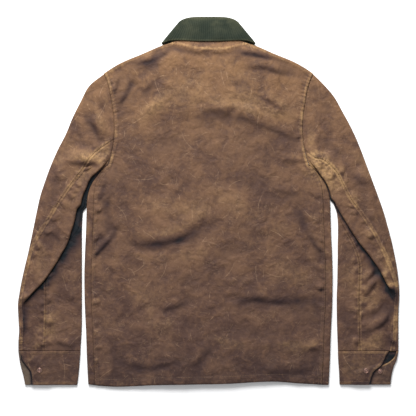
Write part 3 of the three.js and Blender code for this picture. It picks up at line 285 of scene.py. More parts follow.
# Sections of a sleeve from the armhole to the cuff: the outer edge's x and y, the inner edge's x and y, how
# far inside the inner edge the fold lies, the tuck's depth, the fold's turn in degrees, the share of the
# armhole's curve, and how far the elbow seam lies from the outer edge
INNER_X, INNER_Y, TUCK, TURN, CURVE = 2, 3, 5, 6, 7
LEAST_TUCK = 1.2
LEFT_SLEEVE = np.array([
    (-219, 268, -211.6, 76.5, 20, 1.2, 0, 1, 125),
    (-250, 243, -226, 66, 9, 3, 150, 0.72, 120),
    (-268, 210, -236, 54, 9, 24, 180, 0.45, 105),
    (-285, 176, -243, 44, 12, 40, 180, 0.24, 92),
    (-299, 142, -249.5, 34, 11, 50, 180, 0.1, 80),
    (-316, 109, -254.5, 22.5, 9, 55, 180, 0, 69),
    (-331, 75, -258, 9, 11, 58, 180, 0, 58),
    (-343.5, 41, -261, -7, 13, 60, 180, 0, 49),
    (-353, 12, -263.5, -24, 14.5, 58, 180, 0, 41),
    (-360, -19, -265, -45, 17, 56, 180, 0, 32),
    (-366.5, -51, -265.5, -66, 23, 52, 180, 0, 21),
    (-372.5, -80, -265.5, -87, 30, 46, 180, 0, 10),
    (-379, -110, -265.5, -112, 44, 36, 180, 0, 5),
    (-386, -139, -265.5, -139, 61, 25, 180, 0, 5),
    (-392.5, -168, -265.5, -166, 81, 13, 180, 0, 5),
    (-397, -194, -265.5, -191, 106, 4, 180, 0, 5),
    (-400, -215, -265.5, -215, 123, 1.2, 70, 0, 5),
    (-399, -244, -265.5, -244, 122, 1.2, 0, 0, 5),
    (-397.5, -270, -266, -270, 120, 1.2, 0, 0, 5),
    (-399, -294, -267.5, -294, 120, 1.2, 0, 0, 5),
    (-399, -314, -268.5, -314, 120, 1.2, 0, 0, 5),
])
RIGHT_SLEEVE = np.array([
    (219, 268, 211.6, 76.5, 20, 1.2, 0, 1, 152),
    (244, 243, 228.5, 63, 9, 3, 150, 0.72, 146),
    (264, 219, 237, 52, 5, 24, 180, 0.45, 128),
    (279, 192, 244, 42, 5, 40, 180, 0.24, 112),
    (295, 163, 250, 30, 5, 50, 180, 0.1, 98),
    (309, 134, 255, 17, 5, 55, 180, 0, 86),
    (322, 102, 259, 4, 5, 58, 180, 0, 75),
    (334, 70, 263.5, -8, 5, 60, 180, 0, 66),
    (346, 38, 268, -20, 6, 58, 180, 0, 58),
    (357, 8, 270.5, -34, 11, 56, 180, 0, 50),
    (367.5, -22, 271.5, -50, 19, 50, 180, 0, 42),
    (376, -52, 271.5, -70, 31, 44, 180, 0, 34),
    (384, -82, 271, -92, 47, 36, 180, 0, 27),
    (390.5, -112, 271, -117, 68, 25, 180, 0, 20),
    (396, -142, 270.5, -144, 88, 13, 180, 0, 13),
    (399.5, -172, 270, -172, 104, 4, 180, 0, 7),
    (400.5, -198, 269, -198, 118, 1.2, 70, 0, 6),
    (399, -227, 269, -227, 118, 1.2, 0, 0, 6),
    (398.5, -258, 269.5, -258, 116, 1.2, 0, 0, 7),
    (398.5, -288, 270.5, -288, 112, 1.2, 0, 0, 9),
    (398.5, -314, 271.5, -314, 108, 1.2, 0, 0, 14),
])
SLEEVES = {-1: LEFT_SLEEVE, 1: RIGHT_SLEEVE}
UNDERARM = {-1: 72.0, 1: 43.0}  # how far the underarm seam lies inside a forearm's inner edge
SLEEVE_SECTIONS = 176
UNDERARM_SHOWS = 96  # the section from which a sleeve's underarm seam lies free of its upper arm

# The collar for one side: place along the neck seam, fold x y z, edge x y z, and the roll of the fall's outer
# face in degrees
COLLAR = np.array([
    (0, 0, 386, 5.6, 0, 336, 9.6, 0),
    (0.2, 18, 386, 5.6, 23, 336, 9.8, 0),
    (0.4, 32, 385.5, 5.7, 42, 337, 9.8, 0),
    (0.6, 43, 384, 5.8, 62, 338, 9.6, 0),
    (0.8, 51, 381.5, 6, 81, 337, 9.4, 0),
    (0.9, 55.5, 379, 6.1, 92, 333.6, 9.2, 20),
    (0.96, 58.5, 376, 5.9, 96.6, 332.2, 7.9, 55),
    (1, 59.5, 374.5, 5, 97.9, 331.6, 5.1, 90),
    (1.04, 58.8, 373, 4.1, 97.2, 331, 2.1, 130),
    (1.08, 57.5, 371, 3.85, 94.8, 329.6, 1.15, 165),
    (1.15, 53, 363, 3.75, 91, 314, 1.15, 180),
    (1.262, 47, 349, 3.75, 87, 286, 1.15, 180),
    (1.524, 33, 323, 3.75, 81, 257, 1.15, 180),
    (1.702, 19, 306, 3.75, 74, 238, 1.15, 180),
    (1.86, 4.5, 297, 3.75, 62, 226, 1.15, 180),
])

# A cuff's sections: y, outer edge, inner edge, where the lap ends and how far the tongue reaches in
LEFT_CUFF = np.array([
    (-313.95, 399.2, 268.6, 5, 16),
    (-322, 398, 269.2, 5, 20),
    (-332, 396.6, 270, 6, 30),
    (-343, 394.5, 270.8, 12, 38),
    (-356, 391, 272, 18, 42),
    (-370, 387.5, 273.5, 17, 42),
    (-384, 385, 275.4, 15, 40),
])
RIGHT_CUFF = np.array([
    (-313.95, 398.6, 271.6, 21, 3.5),
    (-322, 397, 271.8, 24, 4.5),
    (-332, 395, 272.2, 26, 9),
    (-343, 390, 273, 27, 23),
    (-356, 386, 274, 39, 62),
    (-370, 383.5, 274.6, 42.5, 66),
    (-383.5, 382, 275, 44, 66),
])

CUFFS = {-1: LEFT_CUFF, 1: RIGHT_CUFF}
CUFF_SEAM_Y = -314.5

# Places painted pale: wax rubbed pale on the shoulders, armholes and sleeves, a painted highlight on the
# right elbow's tuck, and broad paler areas of the back: x, y, reach across, reach along and amount
PALE_WEAR_AND_HIGHLIGHTS = [
    (238, 66, 30, 26, 0.75), (222, 88, 20, 20, 0.7), (262, 40, 24, 22, 0.5), (214, 130, 10, 20, 0.3),
    (-230, 86, 22, 20, 0.6), (-262, 60, 20, 18, 0.35), (-212, 116, 9, 24, 0.4), (-250, 102, 24, 16, 0.3),
    (384, -173, 12, 4.5, 1.1), (372, -140, 12, 30, 0.3), (392, -262, 9, 40, 0.4), (330, -296, 34, 20, 0.35),
    (336, -236, 24, 60, 0.2), (-336, -270, 12, 26, 0.25), (-330, -306, 24, 16, 0.2), (150, 182, 44, 20, 0.16),
    (60, 206, 60, 18, 0.14), (-120, 200, 60, 26, 0.1), (50, 272, 60, 26, 0.1), (0, 300, 70, 12, 0.1),
    (-20, -8, 50, 22, 0.08), (95, -300, 60, 20, 0.08), (-20, -205, 24, 20, 0.06), (310, -345, 40, 22, 0.14),
    (-250, -60, 8, 12, 0.3), (250, -140, 7, 16, 0.25), (-268, 196, 24, 50, 0.12), (378, -118, 12, 26, 0.2),
]
# Places painted darker: painted shadow in the right elbow's tuck, painted shade in the left elbow's hollows
# and along the valleys between the sleeves and the body, and other darker areas of the back, armholes and
# cuffs: the same columns
SHADE_AND_DARK_PATCHES = [
    (12, 177, 36, 15, 0.22), (100, 142, 70, 20, 0.14), (150, 272, 40, 16, 0.14), (-165, 262, 24, 44, 0.16),
    (66, 62, 34, 30, 0.12), (155, 12, 50, 24, 0.13), (-205, 0, 34, 70, 0.1), (-110, -82, 70, 12, 0.1),
    (125, -208, 84, 20, 0.16), (0, -146, 40, 22, 0.09), (-40, -366, 80, 16, 0.1), (186, -250, 40, 40, 0.06),
    (-60, -225, 26, 24, 0.08), (96, -60, 26, 20, 0.06), (-232, -90, 22, 30, 0.12), (234, 40, 14, 40, 0.14),
    (-176, 70, 44, 90, 0.24), (-120, 90, 50, 50, 0.1), (0, 60, 90, 60, 0.06), (-385, -350, 60, 30, 0.14),
    (-198, 112, 7, 9, 0.5), (212, 106, 8, 6, 0.3), (379, -186, 9, 6, 2.4), (389, -194, 7, 8, 2.6),
    (393, -209, 5, 11, 1.5), (386, -298, 10, 6, 0.7), (-386, -232, 8, 16, 0.7), (-386, -262, 7, 16, 0.5),
    (-364, -222, 18, 16, 0.35), (268, -100, 6, 200, 0.15), (-268, -200, 5, 120, 0.2),
]
# Painted shadow on a forearm under the folded edge of its upper arm: y at the edge, width and amount
SHADOWS = {
    -1: np.array([(80, 4, 0), (66, 13, 1.8), (46, 24, 2.6), (20, 29, 2.8), (-10, 28, 2.6), (-40, 26, 2.4),
                  (-75, 24, 2.3), (-110, 21, 2.1), (-150, 17, 1.9), (-180, 14, 1.8), (-205, 10, 1.5),
                  (-222, 5, 0)], float),
    1: np.array([(74, 2, 0), (62, 4, 1.8), (40, 5, 2.3), (10, 5, 2.2), (-30, 5, 2.0), (-70, 5.5, 1.9),
                 (-110, 8, 2.0), (-130, 12, 2.4), (-150, 11, 2.3), (-172, 9, 2.3), (-195, 9, 2.2),
                 (-210, 6, 0)], float),
}

# Thickness of the cloth, and the levels at which the layers lie

BODY_WALL, SLEEVE_WALL, CUFF_WALL, COLLAR_WALL = 2.4, 1.8, 2.0, 2.2
SEAM_GAP = 0.3
SLEEVE_GAP = 0.6
SEWN_GAP = 0.05  # between two sheets that are sewn together
BODY_STEP = BODY_WALL + SEAM_GAP
SLEEVE_STEP = SLEEVE_WALL + SLEEVE_GAP
CUFF_STEP = CUFF_WALL + SEAM_GAP
FRONT_LEVEL = BODY_WALL / 2
BACK_LEVEL = FRONT_LEVEL + BODY_STEP
FLOOR_LEVEL = SLEEVE_WALL / 2
FOREARM_LEVEL = FLOOR_LEVEL + SLEEVE_STEP
CUFF_FLOOR = CUFF_WALL / 2
COLLAR_LIFT = COLLAR_WALL + SEAM_GAP

# The snaps' metal parts, each worked out of a disc: radius, height, rounding of its edges, 1 where its upper
# face is worked and -1 where the lower one is, and how far that face is set in and raised at each step
SNAPS = {
    "ring": (5.25, 1.0, 0.12, 1, [(0.9, 0.35), (0.75, 0), (0.35, -0.45), (0.3, -0.55), (1.3, 0), (0.3, 0.3)]),
    "stud": (5.0, 0.55, 0.1, 1, [(0.7, 0.25), (0.5, -0.2), (1.6, 0), (0.15, 0.9), (-0.3, 0.3), (0.5, 0.3)]),
    "cap": (7.5, 1.15, 0.15, -1, [(0.8, 0.15), (1.6, 0.12), (2.2, 0.08)]),
}
CAP_LEVEL = 0.35


def smooth(t):
    """A soft step from 0 to 1."""
    c = np.clip(t, 0.0, 1.0)
    return c * c * (3 - 2 * c)


def mix(a, b, t):
    return a + (b - a) * t


def between(first, last, leave, arrive, t):
    """A curve from one value to the next that leaves the first and arrives at the last at given slopes."""
    return (
        first * (1 + 2 * t) * (1 - t) ** 2
        + leave * t * (1 - t) ** 2
        + last * t * t * (3 - 2 * t)
        + arrive * t * t * (t - 1)
    )


def read(table, column, at):
    """A table's column at any key between its rows, along a smooth curve. The first column holds the keys."""
    keys, values = table[:, 0], table[:, column]
    if keys[0] > keys[-1]:
        keys, values = keys[::-1], values[::-1]
    last = len(keys) - 1
    before = np.maximum(np.arange(last + 1) - 1, 0)
    after = np.minimum(np.arange(last + 1) + 1, last)
    slope = (values[after] - values[before]) / (keys[after] - keys[before])
    at = np.asarray(at, float)
    i = np.clip(np.searchsorted(keys, at, side="right") - 1, 0, last - 1)
    run = keys[i + 1] - keys[i]
    t = np.clip((at - keys[i]) / run, 0.0, 1.0)
    return between(values[i], values[i + 1], slope[i] * run, slope[i + 1] * run, t)


def read_row(table, at):
    """A table's whole row at any key."""
    return [at] + [float(read(table, column, at)) for column in range(1, table.shape[1])]


class PlanCurve:
    """A smooth curve through points in plan, read by its share of the points or of its length."""

    STEPS = 24

    def __init__(self, points):
        p = np.asarray(points, float)
        self.count = len(p) - 1
        self.p = np.vstack([2 * p[0] - p[1], p, 2 * p[-1] - p[-2]])
        self.shares = np.linspace(0, 1, self.count * self.STEPS + 1)
        self.points = self.by_point(self.shares)
        step = np.hypot(*np.diff(self.points, axis=0).T)
        self.lengths = np.concatenate([[0], np.cumsum(step)])
        self.length = self.lengths[-1]

    def by_point(self, share):
        share = np.clip(np.atleast_1d(share), 0, 1) * self.count
        i = np.minimum(share.astype(int), self.count - 1)
        t = (share - i)[:, None]
        p0, p1, p2, p3 = (self.p[i + k] for k in range(4))
        d0, d1, d2 = (np.sqrt(np.hypot(*(b - a).T))[:, None] for a, b in ((p0, p1), (p1, p2), (p2, p3)))
        out = ((p1 - p0) / d0 - (p2 - p0) / (d0 + d1) + (p2 - p1) / d1) * d1
        back = ((p2 - p1) / d1 - (p3 - p1) / (d1 + d2) + (p3 - p2) / d2) * d1
        return between(p1, p2, out, back, t)

    def by_length(self, share):
        share = np.interp(np.clip(np.atleast_1d(share), 0, 1) * self.length, self.lengths, self.shares)
        return self.by_point(share)

    def even(self, step):
        """Points along the curve about one step apart."""
        return self.by_length(np.linspace(0, 1, max(2, int(self.length / step) + 1)))


def sided(points, side, inset=0.0):
    """A line of the cut, on one side and moved in."""
    return [(side * (x - inset), y) for x, y in points]


def near_line(x, y, line):
    """How far places lie from a line of points, positive on its left, and how far along it they lie."""
    best = np.full(x.shape, 1e12)
    off = np.zeros(x.shape)
    along = np.zeros(x.shape)
    start = 0.0
    for (ax, ay), (bx, by) in zip(line[:-1], line[1:]):
        dx, dy = bx - ax, by - ay
        length = math.hypot(dx, dy)
        if length == 0:
            continue
        t = np.clip(((x - ax) * dx + (y - ay) * dy) / length**2, 0, 1)
        far = (x - ax - t * dx) ** 2 + (y - ay - t * dy) ** 2
        nearer = far < best
        side = np.sign(dx * (y - ay) - dy * (x - ax))
        best = np.where(nearer, far, best)
        off = np.where(nearer, side * np.sqrt(far), off)
        along = np.where(nearer, start + t * length, along)
        start += length
    return off, along


def waves(x, y, size, seed):
    """Soft seeded noise from -1 to 1 over the plan, with waves of about one size in millimetres."""
    table = np.random.default_rng(seed).uniform(-1, 1, (64, 64))
    gx, gy = x / size + 31.3, y / size + 29.7
    i, j = np.floor(gx).astype(int), np.floor(gy).astype(int)
    u, v = gx - i, gy - j
    u, v = u * u * u * (u * (6 * u - 15) + 10), v * v * v * (v * (6 * v - 15) + 10)
    i, j, k, m = i % 64, j % 64, (i + 1) % 64, (j + 1) % 64
    low = mix(table[i, j], table[k, j], u)
    return mix(low, mix(table[i, m], table[k, m], u), v)


class Relief:
    """The small height z and the tone that folds, seams and rubbing give a sheet at each of its places.

    The tone is 0 on plain cloth. Above 0 it gives wax rubbed pale and painted highlights on fold crests and
    ridges.
    Below 0 it gives painted shade in folds, troughs and puckers, painted shadow under folded edges, and
    darker patches.
    """

    # tones of painted shade along folds and in troughs, of painted highlights along light folds and on
    # crests, and of ridges painted pale
    SHADE_TONE, LIGHT_TONE, CREST_TONE = -0.17, 0.06, 0.07
    TROUGH_TONE, RIDGE_TONE, TROUGH_DEPTH = 0.21, 0.11, 0.75

    def __init__(self, x, y):
        self.x, self.y = x, y
        self.z = np.zeros(x.shape)
        self.tone = np.zeros(x.shape)

    def near(self, line, reach):
        """Which places lie in the box round a line, and their x and y."""
        low, high = line.min(axis=0) - reach, line.max(axis=0) + reach
        inside = (self.x > low[0]) & (self.x < high[0]) & (self.y > low[1]) & (self.y < high[1])
        return inside, self.x[inside], self.y[inside]

    def folds(self, table, strength=1.0):
        """Folds, steep on their path's side and soft on the other, with painted shade along the path, a
        painted highlight there instead where the height is below 0, and a painted highlight on the crest.
        """
        for signed, width, path in table:
            curve = PlanCurve(path)
            line = curve.even(4)
            inside, x, y = self.near(line, 3 * width)
            off, along = near_line(x, y, line)
            height, kind = abs(signed), math.copysign(1, signed)
            rising = off * kind * (1 if line[-1, 0] >= line[0, 0] else -1)
            ramp = 2.8 + 0.18 * width
            seed = int(height * 97 + width * 7 + abs(line[0, 0]))
            wander = 1 + 0.35 * waves(along, np.zeros_like(along), 22, seed)
            end = 0.32 * curve.length
            ends = smooth(along / end) * smooth((curve.length - along) / end)
            fall = np.exp(-((np.maximum(0, rising - ramp) / (1.2 * width)) ** 2))
            crest = smooth((rising + ramp) / (2 * ramp)) * fall
            self.z[inside] += strength * height * wander * ends * crest
            # painted shade along a fold's path, a painted highlight there where its height is below 0, and a
            # painted highlight on its crest
            line_tone = np.exp(-((rising / (1.25 * ramp)) ** 2)) * ends * height * wander
            crest_highlight = np.exp(-(((rising - 2.2 * ramp) / (1.4 * ramp)) ** 2)) * ends * height * wander
            fold_tone = self.SHADE_TONE if kind > 0 else self.LIGHT_TONE
            self.tone[inside] += fold_tone * line_tone + self.CREST_TONE * crest_highlight

    def troughs(self, table):
        """Broad soft troughs with painted shade where the light doesn't reach, and ridges painted pale,
        partly rubbed wax and partly painted highlight.
        """
        for depth, width, path in table:
            curve = PlanCurve(path)
            line = curve.even(5)
            inside, x, y = self.near(line, 3 * width)
            off, along = near_line(x, y, line)
            zero = np.zeros_like(along)
            seed = int(abs(line[0, 0]) + width)
            wander = 1 + 0.4 * waves(along, zero, 17, seed) + 0.25 * waves(x, y, 9, seed + 1)
            off = off + 0.35 * width * waves(along, zero, 24, seed + 2)
            before, after = np.maximum(0, -along), np.maximum(0, along - curve.length)
            half = 0.5 * width
            ends = smooth((along + half) / width) * smooth((curve.length + half - along) / width)
            soft = np.exp(-((np.hypot(off, before + after) / width) ** 2)) * wander * mix(0.35, 1, ends)
            self.z[inside] -= self.TROUGH_DEPTH * depth * soft
            self.tone[inside] -= (self.TROUGH_TONE if depth > 0 else self.RIDGE_TONE) * depth * soft

    def seam(self, line, side=0, width=8.5, height=0.8, pucker=0.45, pitch=7.0, pale=0.5, seed=1):
        """A felled seam: a raised strip beside a line, or on both sides of it, drawn into small puckers.
        The strip is rubbed pale, painted shade darkens the puckers' hollows and the strip's edge, and a dark
        line runs along the seam.

        side is 1 for the line's left, -1 for its right and 0 for both.
        """
        line = np.asarray(line, float)
        inside, x, y = self.near(line, width + 26)
        off, along = near_line(x, y, line)
        away = np.abs(off) * 2 if side == 0 else off * side
        zero = np.zeros_like(along)
        phase = 2 * np.pi * (along / pitch + 0.9 * waves(along, zero, 19, seed))
        uneven = 0.55 + 0.45 * waves(along, zero, 27, seed + 1)
        strip = smooth((width - away) / 1.8) * smooth((away + 1.4) / 1.4)
        reach = np.exp(-((np.maximum(0, np.abs(away - 0.5 * width) - 0.4 * width) / 7.5) ** 2))
        self.z[inside] += height * strip + pucker * uneven * reach * np.sin(phase + away * 0.12)
        rubbed = (0.65 + 0.35 * waves(along, away, 9, seed + 2)) * strip
        # painted shade in the puckers' hollows
        pinch_shade = np.maximum(0, -np.sin(phase + away * 0.12)) ** 2 * uneven * reach
        self.tone[inside] += pale * rubbed - 0.42 * pinch_shade * (pucker / 0.45)
        # painted shade along the strip's outer edge, and a dark line along the seam itself
        edge = np.exp(-(((away - width) / 1.3) ** 2)) + 0.8 * np.exp(-((away / 1.1) ** 2))
        self.tone[inside] -= 0.22 * (0.25 + pale) * edge

    def spots(self, table, kind):
        """Soft pale or dark areas, uneven inside."""
        for x, y, across, along, amount in table:
            distance = np.hypot((self.x - x) / across, (self.y - y) / along)
            patchy = 0.75 + 0.35 * waves(self.x, self.y, 9, int(abs(x)) + 3)
            self.tone += kind * amount * patchy * np.exp(-(distance**2))

    def bones(self, line, pitch, length, height, seed, lean=0.35):
        """Short folds that run out from both sides of a seam, uneven in place, length and depth."""
        curve = PlanCurve(np.asarray(line)[:: max(1, len(line) // 40)])
        chance = np.random.default_rng(seed)
        table, at = [], pitch
        while at < curve.length - pitch:
            side = 1 if chance.random() > 0.5 else -1
            here, after = curve.by_length([at / curve.length, (at + 2) / curve.length])
            along = (after - here) / np.hypot(*(after - here))
            out = side * np.array([-along[1], along[0]]) + chance.uniform(0.4, 1.6) * lean * along
            far = length * chance.uniform(0.5, 1.2)
            path = [here + out * 2.5, here + out * far * 0.6, here + out * far + along * 2]
            kind = 1 if chance.random() > 0.3 else -1
            table.append((kind * height * chance.uniform(0.6, 1.4), 7.0, path))
            at += pitch * chance.uniform(0.45, 1.5)
        self.folds(table)

    def shadow(self, line, table):
        """Painted shadow that a folded edge throws on the cloth beneath it."""
        inside, x, y = self.near(line, 60)
        off, _ = near_line(x, y, line)
        low, high = table[:, 0].min(), table[:, 0].max()
        key = np.clip(y, low, high)
        width = np.maximum(read(table, 1, key), 1)
        amount = np.clip(read(table, 2, key), 0, 3)
        patchy = 0.9 + 0.25 * waves(x, y, 13, 17)
        self.tone[inside] -= amount * patchy * np.exp(-((np.abs(off) / width) ** 1.6))

    def weave_slack(self, amount, seed):
        """The cloth's own soft unevenness."""
        slack = 0.6 * waves(self.x, self.y, 46, seed) + 0.4 * waves(self.x, self.y * 1.5, 25, seed + 1)
        small = 0.2 * waves(self.x, self.y * 1.4, 12, seed + 2) + 0.07 * waves(self.x, self.y, 6, seed + 4)
        self.z += amount * (slack + small)
        self.tone += 0.05 * waves(self.x, self.y, 34, seed + 3)


def grid_normals(grid, closed=False):
    """The upper face's direction at each point of a grid; a closed grid's last column meets its first."""
    here = grid if not closed else np.concatenate([grid, grid[:, :1]], axis=1)
    cross = np.cross(here[1:, 1:] - here[:-1, :-1], here[1:, :-1] - here[:-1, 1:])
    cross /= np.maximum(np.linalg.norm(cross, axis=2, keepdims=True), 1e-12)
    total = np.zeros_like(here)
    for i, j in ((0, 0), (0, 1), (1, 0), (1, 1)):
        rows, columns = here.shape[0] - 1, here.shape[1] - 1
        total[i : i + rows, j : j + columns] += cross
    if closed:
        total[:, 0] += total[:, -1]
        total = total[:, :-1]
    return total / np.maximum(np.linalg.norm(total, axis=2, keepdims=True), 1e-12)


TONE_LIMITS = (-1.6, 1.3)


def piece_of(mesh):
    mesh.update()
    piece = bpy.data.objects.new(mesh.name, mesh)
    bpy.context.scene.collection.objects.link(piece)
    return piece


def cloth_mesh(name, grid, thickness, tone, normals=None, cells=None, free=None, plan=None, inside=None,
               grey=None):
    """A thin closed shell of cloth round a grid, with its free edges rounded.

    cells are the quads to keep, and free is 1 on edges that nothing is sewn to. tone says how pale or dark
    each place is, inside the same for the hidden face, and grey where the cloth is greyer. plan is the cloth
    laid out flat, kept as a UV map.
    """
    rows, columns = grid.shape[:2]
    normals = grid_normals(grid) if normals is None else normals
    number = np.arange(rows * columns).reshape(rows, columns)
    quads = np.stack([number[:-1, :-1], number[:-1, 1:], number[1:, 1:], number[1:, :-1]], axis=2)
    quads = quads.reshape(-1, 4) if cells is None else quads[cells]
    middle, up = grid.reshape(-1, 3), normals.reshape(-1, 3)
    count = len(middle)

    edges = np.concatenate([quads[:, [0, 1]], quads[:, [1, 2]], quads[:, [2, 3]], quads[:, [3, 0]]])
    codes, reverse = edges[:, 0] * count + edges[:, 1], edges[:, 1] * count + edges[:, 0]
    rim = edges[~np.isin(codes, reverse)]
    outward = np.zeros_like(middle)
    side = np.cross(middle[rim[:, 1]] - middle[rim[:, 0]], up[rim[:, 0]])
    side /= np.maximum(np.linalg.norm(side, axis=1, keepdims=True), 1e-12)
    np.add.at(outward, rim[:, 0], side)
    np.add.at(outward, rim[:, 1], side)
    outward /= np.maximum(np.linalg.norm(outward, axis=1, keepdims=True), 1e-12)
    round_by = np.zeros(count) if free is None else 0.42 * thickness * free.reshape(-1)

    points = [middle + up * thickness / 2, middle - up * thickness / 2, middle + outward * round_by[:, None]]
    p, q = rim[:, 0], rim[:, 1]
    faces = np.concatenate([
        quads,
        quads[:, ::-1] + count,
        np.stack([q, p, p + 2 * count, q + 2 * count], axis=1),
        np.stack([q + 2 * count, p + 2 * count, p + count, q + count], axis=1),
    ])
    used, faces = np.unique(faces, return_inverse=True)
    faces = faces.reshape(-1, 4)
    points = (np.concatenate(points)[used] + FRAME_SHIFT) * MM

    mesh = bpy.data.meshes.new(name)
    mesh.from_pydata(points.tolist(), [], faces.tolist())
    rounded = round_by[p] + round_by[q] > 0  # a sewn edge stays square, so that its seam shows as a thin line
    mesh.polygons.foreach_set("use_smooth", np.concatenate([np.ones(2 * len(quads), bool), rounded, rounded]))
    inside = tone if inside is None else inside
    written = {"tone": np.concatenate([tone.reshape(-1), inside.reshape(-1), tone.reshape(-1)])}
    if grey is not None:
        written["grey"] = np.tile(grey.reshape(-1), 3)
    for word, values in written.items():
        attribute = mesh.attributes.new(word, "FLOAT", "POINT")
        attribute.data.foreach_set("value", np.clip(values[used], *TONE_LIMITS))
    if plan is not None:
        layer = mesh.uv_layers.new(name="plan")
        corners = np.zeros(len(mesh.loops), int)
        mesh.loops.foreach_get("vertex_index", corners)
        flat = np.tile(plan.reshape(-1, 2), (3, 1))[used] * MM
        layer.data.foreach_set("uv", flat[corners].reshape(-1))
    return piece_of(mesh)


def sheet_size(grid):
    """The longest way along and across a grid of cloth and its area, in metres."""
    across = np.linalg.norm(np.diff(grid, axis=1), axis=2).sum(axis=1).max()
    along = np.linalg.norm(np.diff(grid, axis=0), axis=2).sum(axis=0).max()
    cross = np.cross(grid[1:, 1:] - grid[:-1, :-1], grid[1:, :-1] - grid[:-1, 1:])
    return across * MM, along * MM, np.linalg.norm(cross, axis=2).sum() / 2 * MM * MM


# The body

def side_fold(y):
    """Where a front turns up round the side."""
    return read(BODY_SIDE, 1, y) - BODY_STEP / 2 - BODY_WALL / 2


def wrap_width(y):
    """How far a front comes round onto the back."""
    least = 0.15
    return least + (SIDE_WRAP - least) * smooth((ARMPIT_Y - y) / 75)


def side_seam(y):
    """Where the back ends and a front's wrapped edge begins."""
    return side_fold(y) - wrap_width(y) - SEWN_GAP


def front_height(x, y, side):
    """A front's height: raised over the collar's points, and the right one over the left one's edge."""
    lap = (BODY_STEP + 0.3) * smooth((44 - x) / 20) if side > 0 else 0
    return FRONT_LEVEL + COLLAR_LIFT * smooth((150 - np.abs(x)) / 32) * smooth((y - 175) / 36) + lap


def back_level(x, y):
    """The back's height when pressed flat: raised near the neck, over the collar's points."""
    sink = 0.5 * smooth((y - 305) / 35) * smooth((38 - np.abs(x)) / 26)
    lift = COLLAR_LIFT * smooth((172 - np.abs(x)) / 44) * smooth((y - 150) / 46)
    return BACK_LEVEL + lift * (1 - sink)


def patch(bottom, top, left, right, u, v):
    """A patch in plan between four edges, each an array of points along u or along v."""
    u, v = u[None, :, None], v[:, None, None]
    bottom, top, left, right = bottom[None], top[None], left[:, None], right[:, None]
    return (
        bottom * (1 - v) + top * v + left * (1 - u) + right * u
        - bottom[:, :1] * (1 - u) * (1 - v) - bottom[:, -1:] * u * (1 - v)
        - top[:, :1] * (1 - u) * v - top[:, -1:] * u * v
    )


def pinned_armhole(side, corner_x, v):
    """The armhole's edge of a panel, drawn at its foot to the panel's own corner."""
    edge = PlanCurve(sided(ARMHOLE[::-1], side, SEWN_GAP)).by_length(v)
    edge[:, 0] += side * (corner_x - ARMHOLE[-1][0] + SEWN_GAP) * (1 - v) ** 6
    edge[:, 1] += (ARMPIT_Y - ARMHOLE[-1][1]) * (1 - v)
    return edge


def back_grid(columns=164, lower=152, upper=92):
    """The back's grid in plan, and how far each place is from a sewn edge, from 0 to 1."""
    u = np.linspace(0, 1, columns + 1)
    v = np.linspace(0, 1, upper + 1)[1:]
    x0 = mix(-1, 1, u)
    y = mix(read(HEM, 1, x0 * HEM_CORNER)[None], ARMPIT_Y, np.linspace(0, 1, lower + 1)[:, None])
    low = np.stack([x0[None] * side_seam(y), y], axis=2)

    share = 9 / 28  # of the columns, those that end at one shoulder
    neck = PlanCurve(sided(BACK_NECK, -1) + BACK_NECK[-2::-1])
    left_top = PlanCurve(sided(SHOULDER, -1, SEWN_GAP))
    right_top = PlanCurve(sided(SHOULDER, 1, SEWN_GAP)[::-1])
    along_neck = neck.by_length((u - share) / (1 - 2 * share))
    top = np.where((u < share)[:, None], left_top.by_length(u / share), along_neck)
    top = np.where((u > 1 - share)[:, None], right_top.by_length((u - 1 + share) / share), top)
    corner = side_seam(np.array(ARMPIT_Y))
    bottom = np.stack([mix(-corner, corner, u), np.full_like(u, ARMPIT_Y)], axis=1)
    high = patch(bottom, top, pinned_armhole(-1, corner, v), pinned_armhole(1, corner, v), u, v)
    plan = np.concatenate([low, high])
    rows = np.concatenate([np.zeros(lower + 1), v])[:, None]
    fade = (smooth(u / 0.05) * smooth((1 - u) / 0.05))[None] * smooth((1 - rows) / 0.12)
    return plan, fade


def arm_line(side, step=3):
    """The armhole's seam, from the shoulder to the armpit."""
    return PlanCurve(sided(ARMHOLE, side)).even(step)


def side_line(side, step=6):
    """The side seam, from the armpit to the hem."""
    y = np.arange(ARMPIT_Y, -388, -step)
    return np.stack([side * side_seam(y), y], axis=1)


def shoulder_line(side):
    return PlanCurve(sided(SHOULDER, side)).even(4)


def hem_line(reach, count):
    """The hem, as far as a distance from the middle."""
    x = np.linspace(-reach, reach, count)
    return np.stack([x, read(HEM, 1, x)], axis=1)


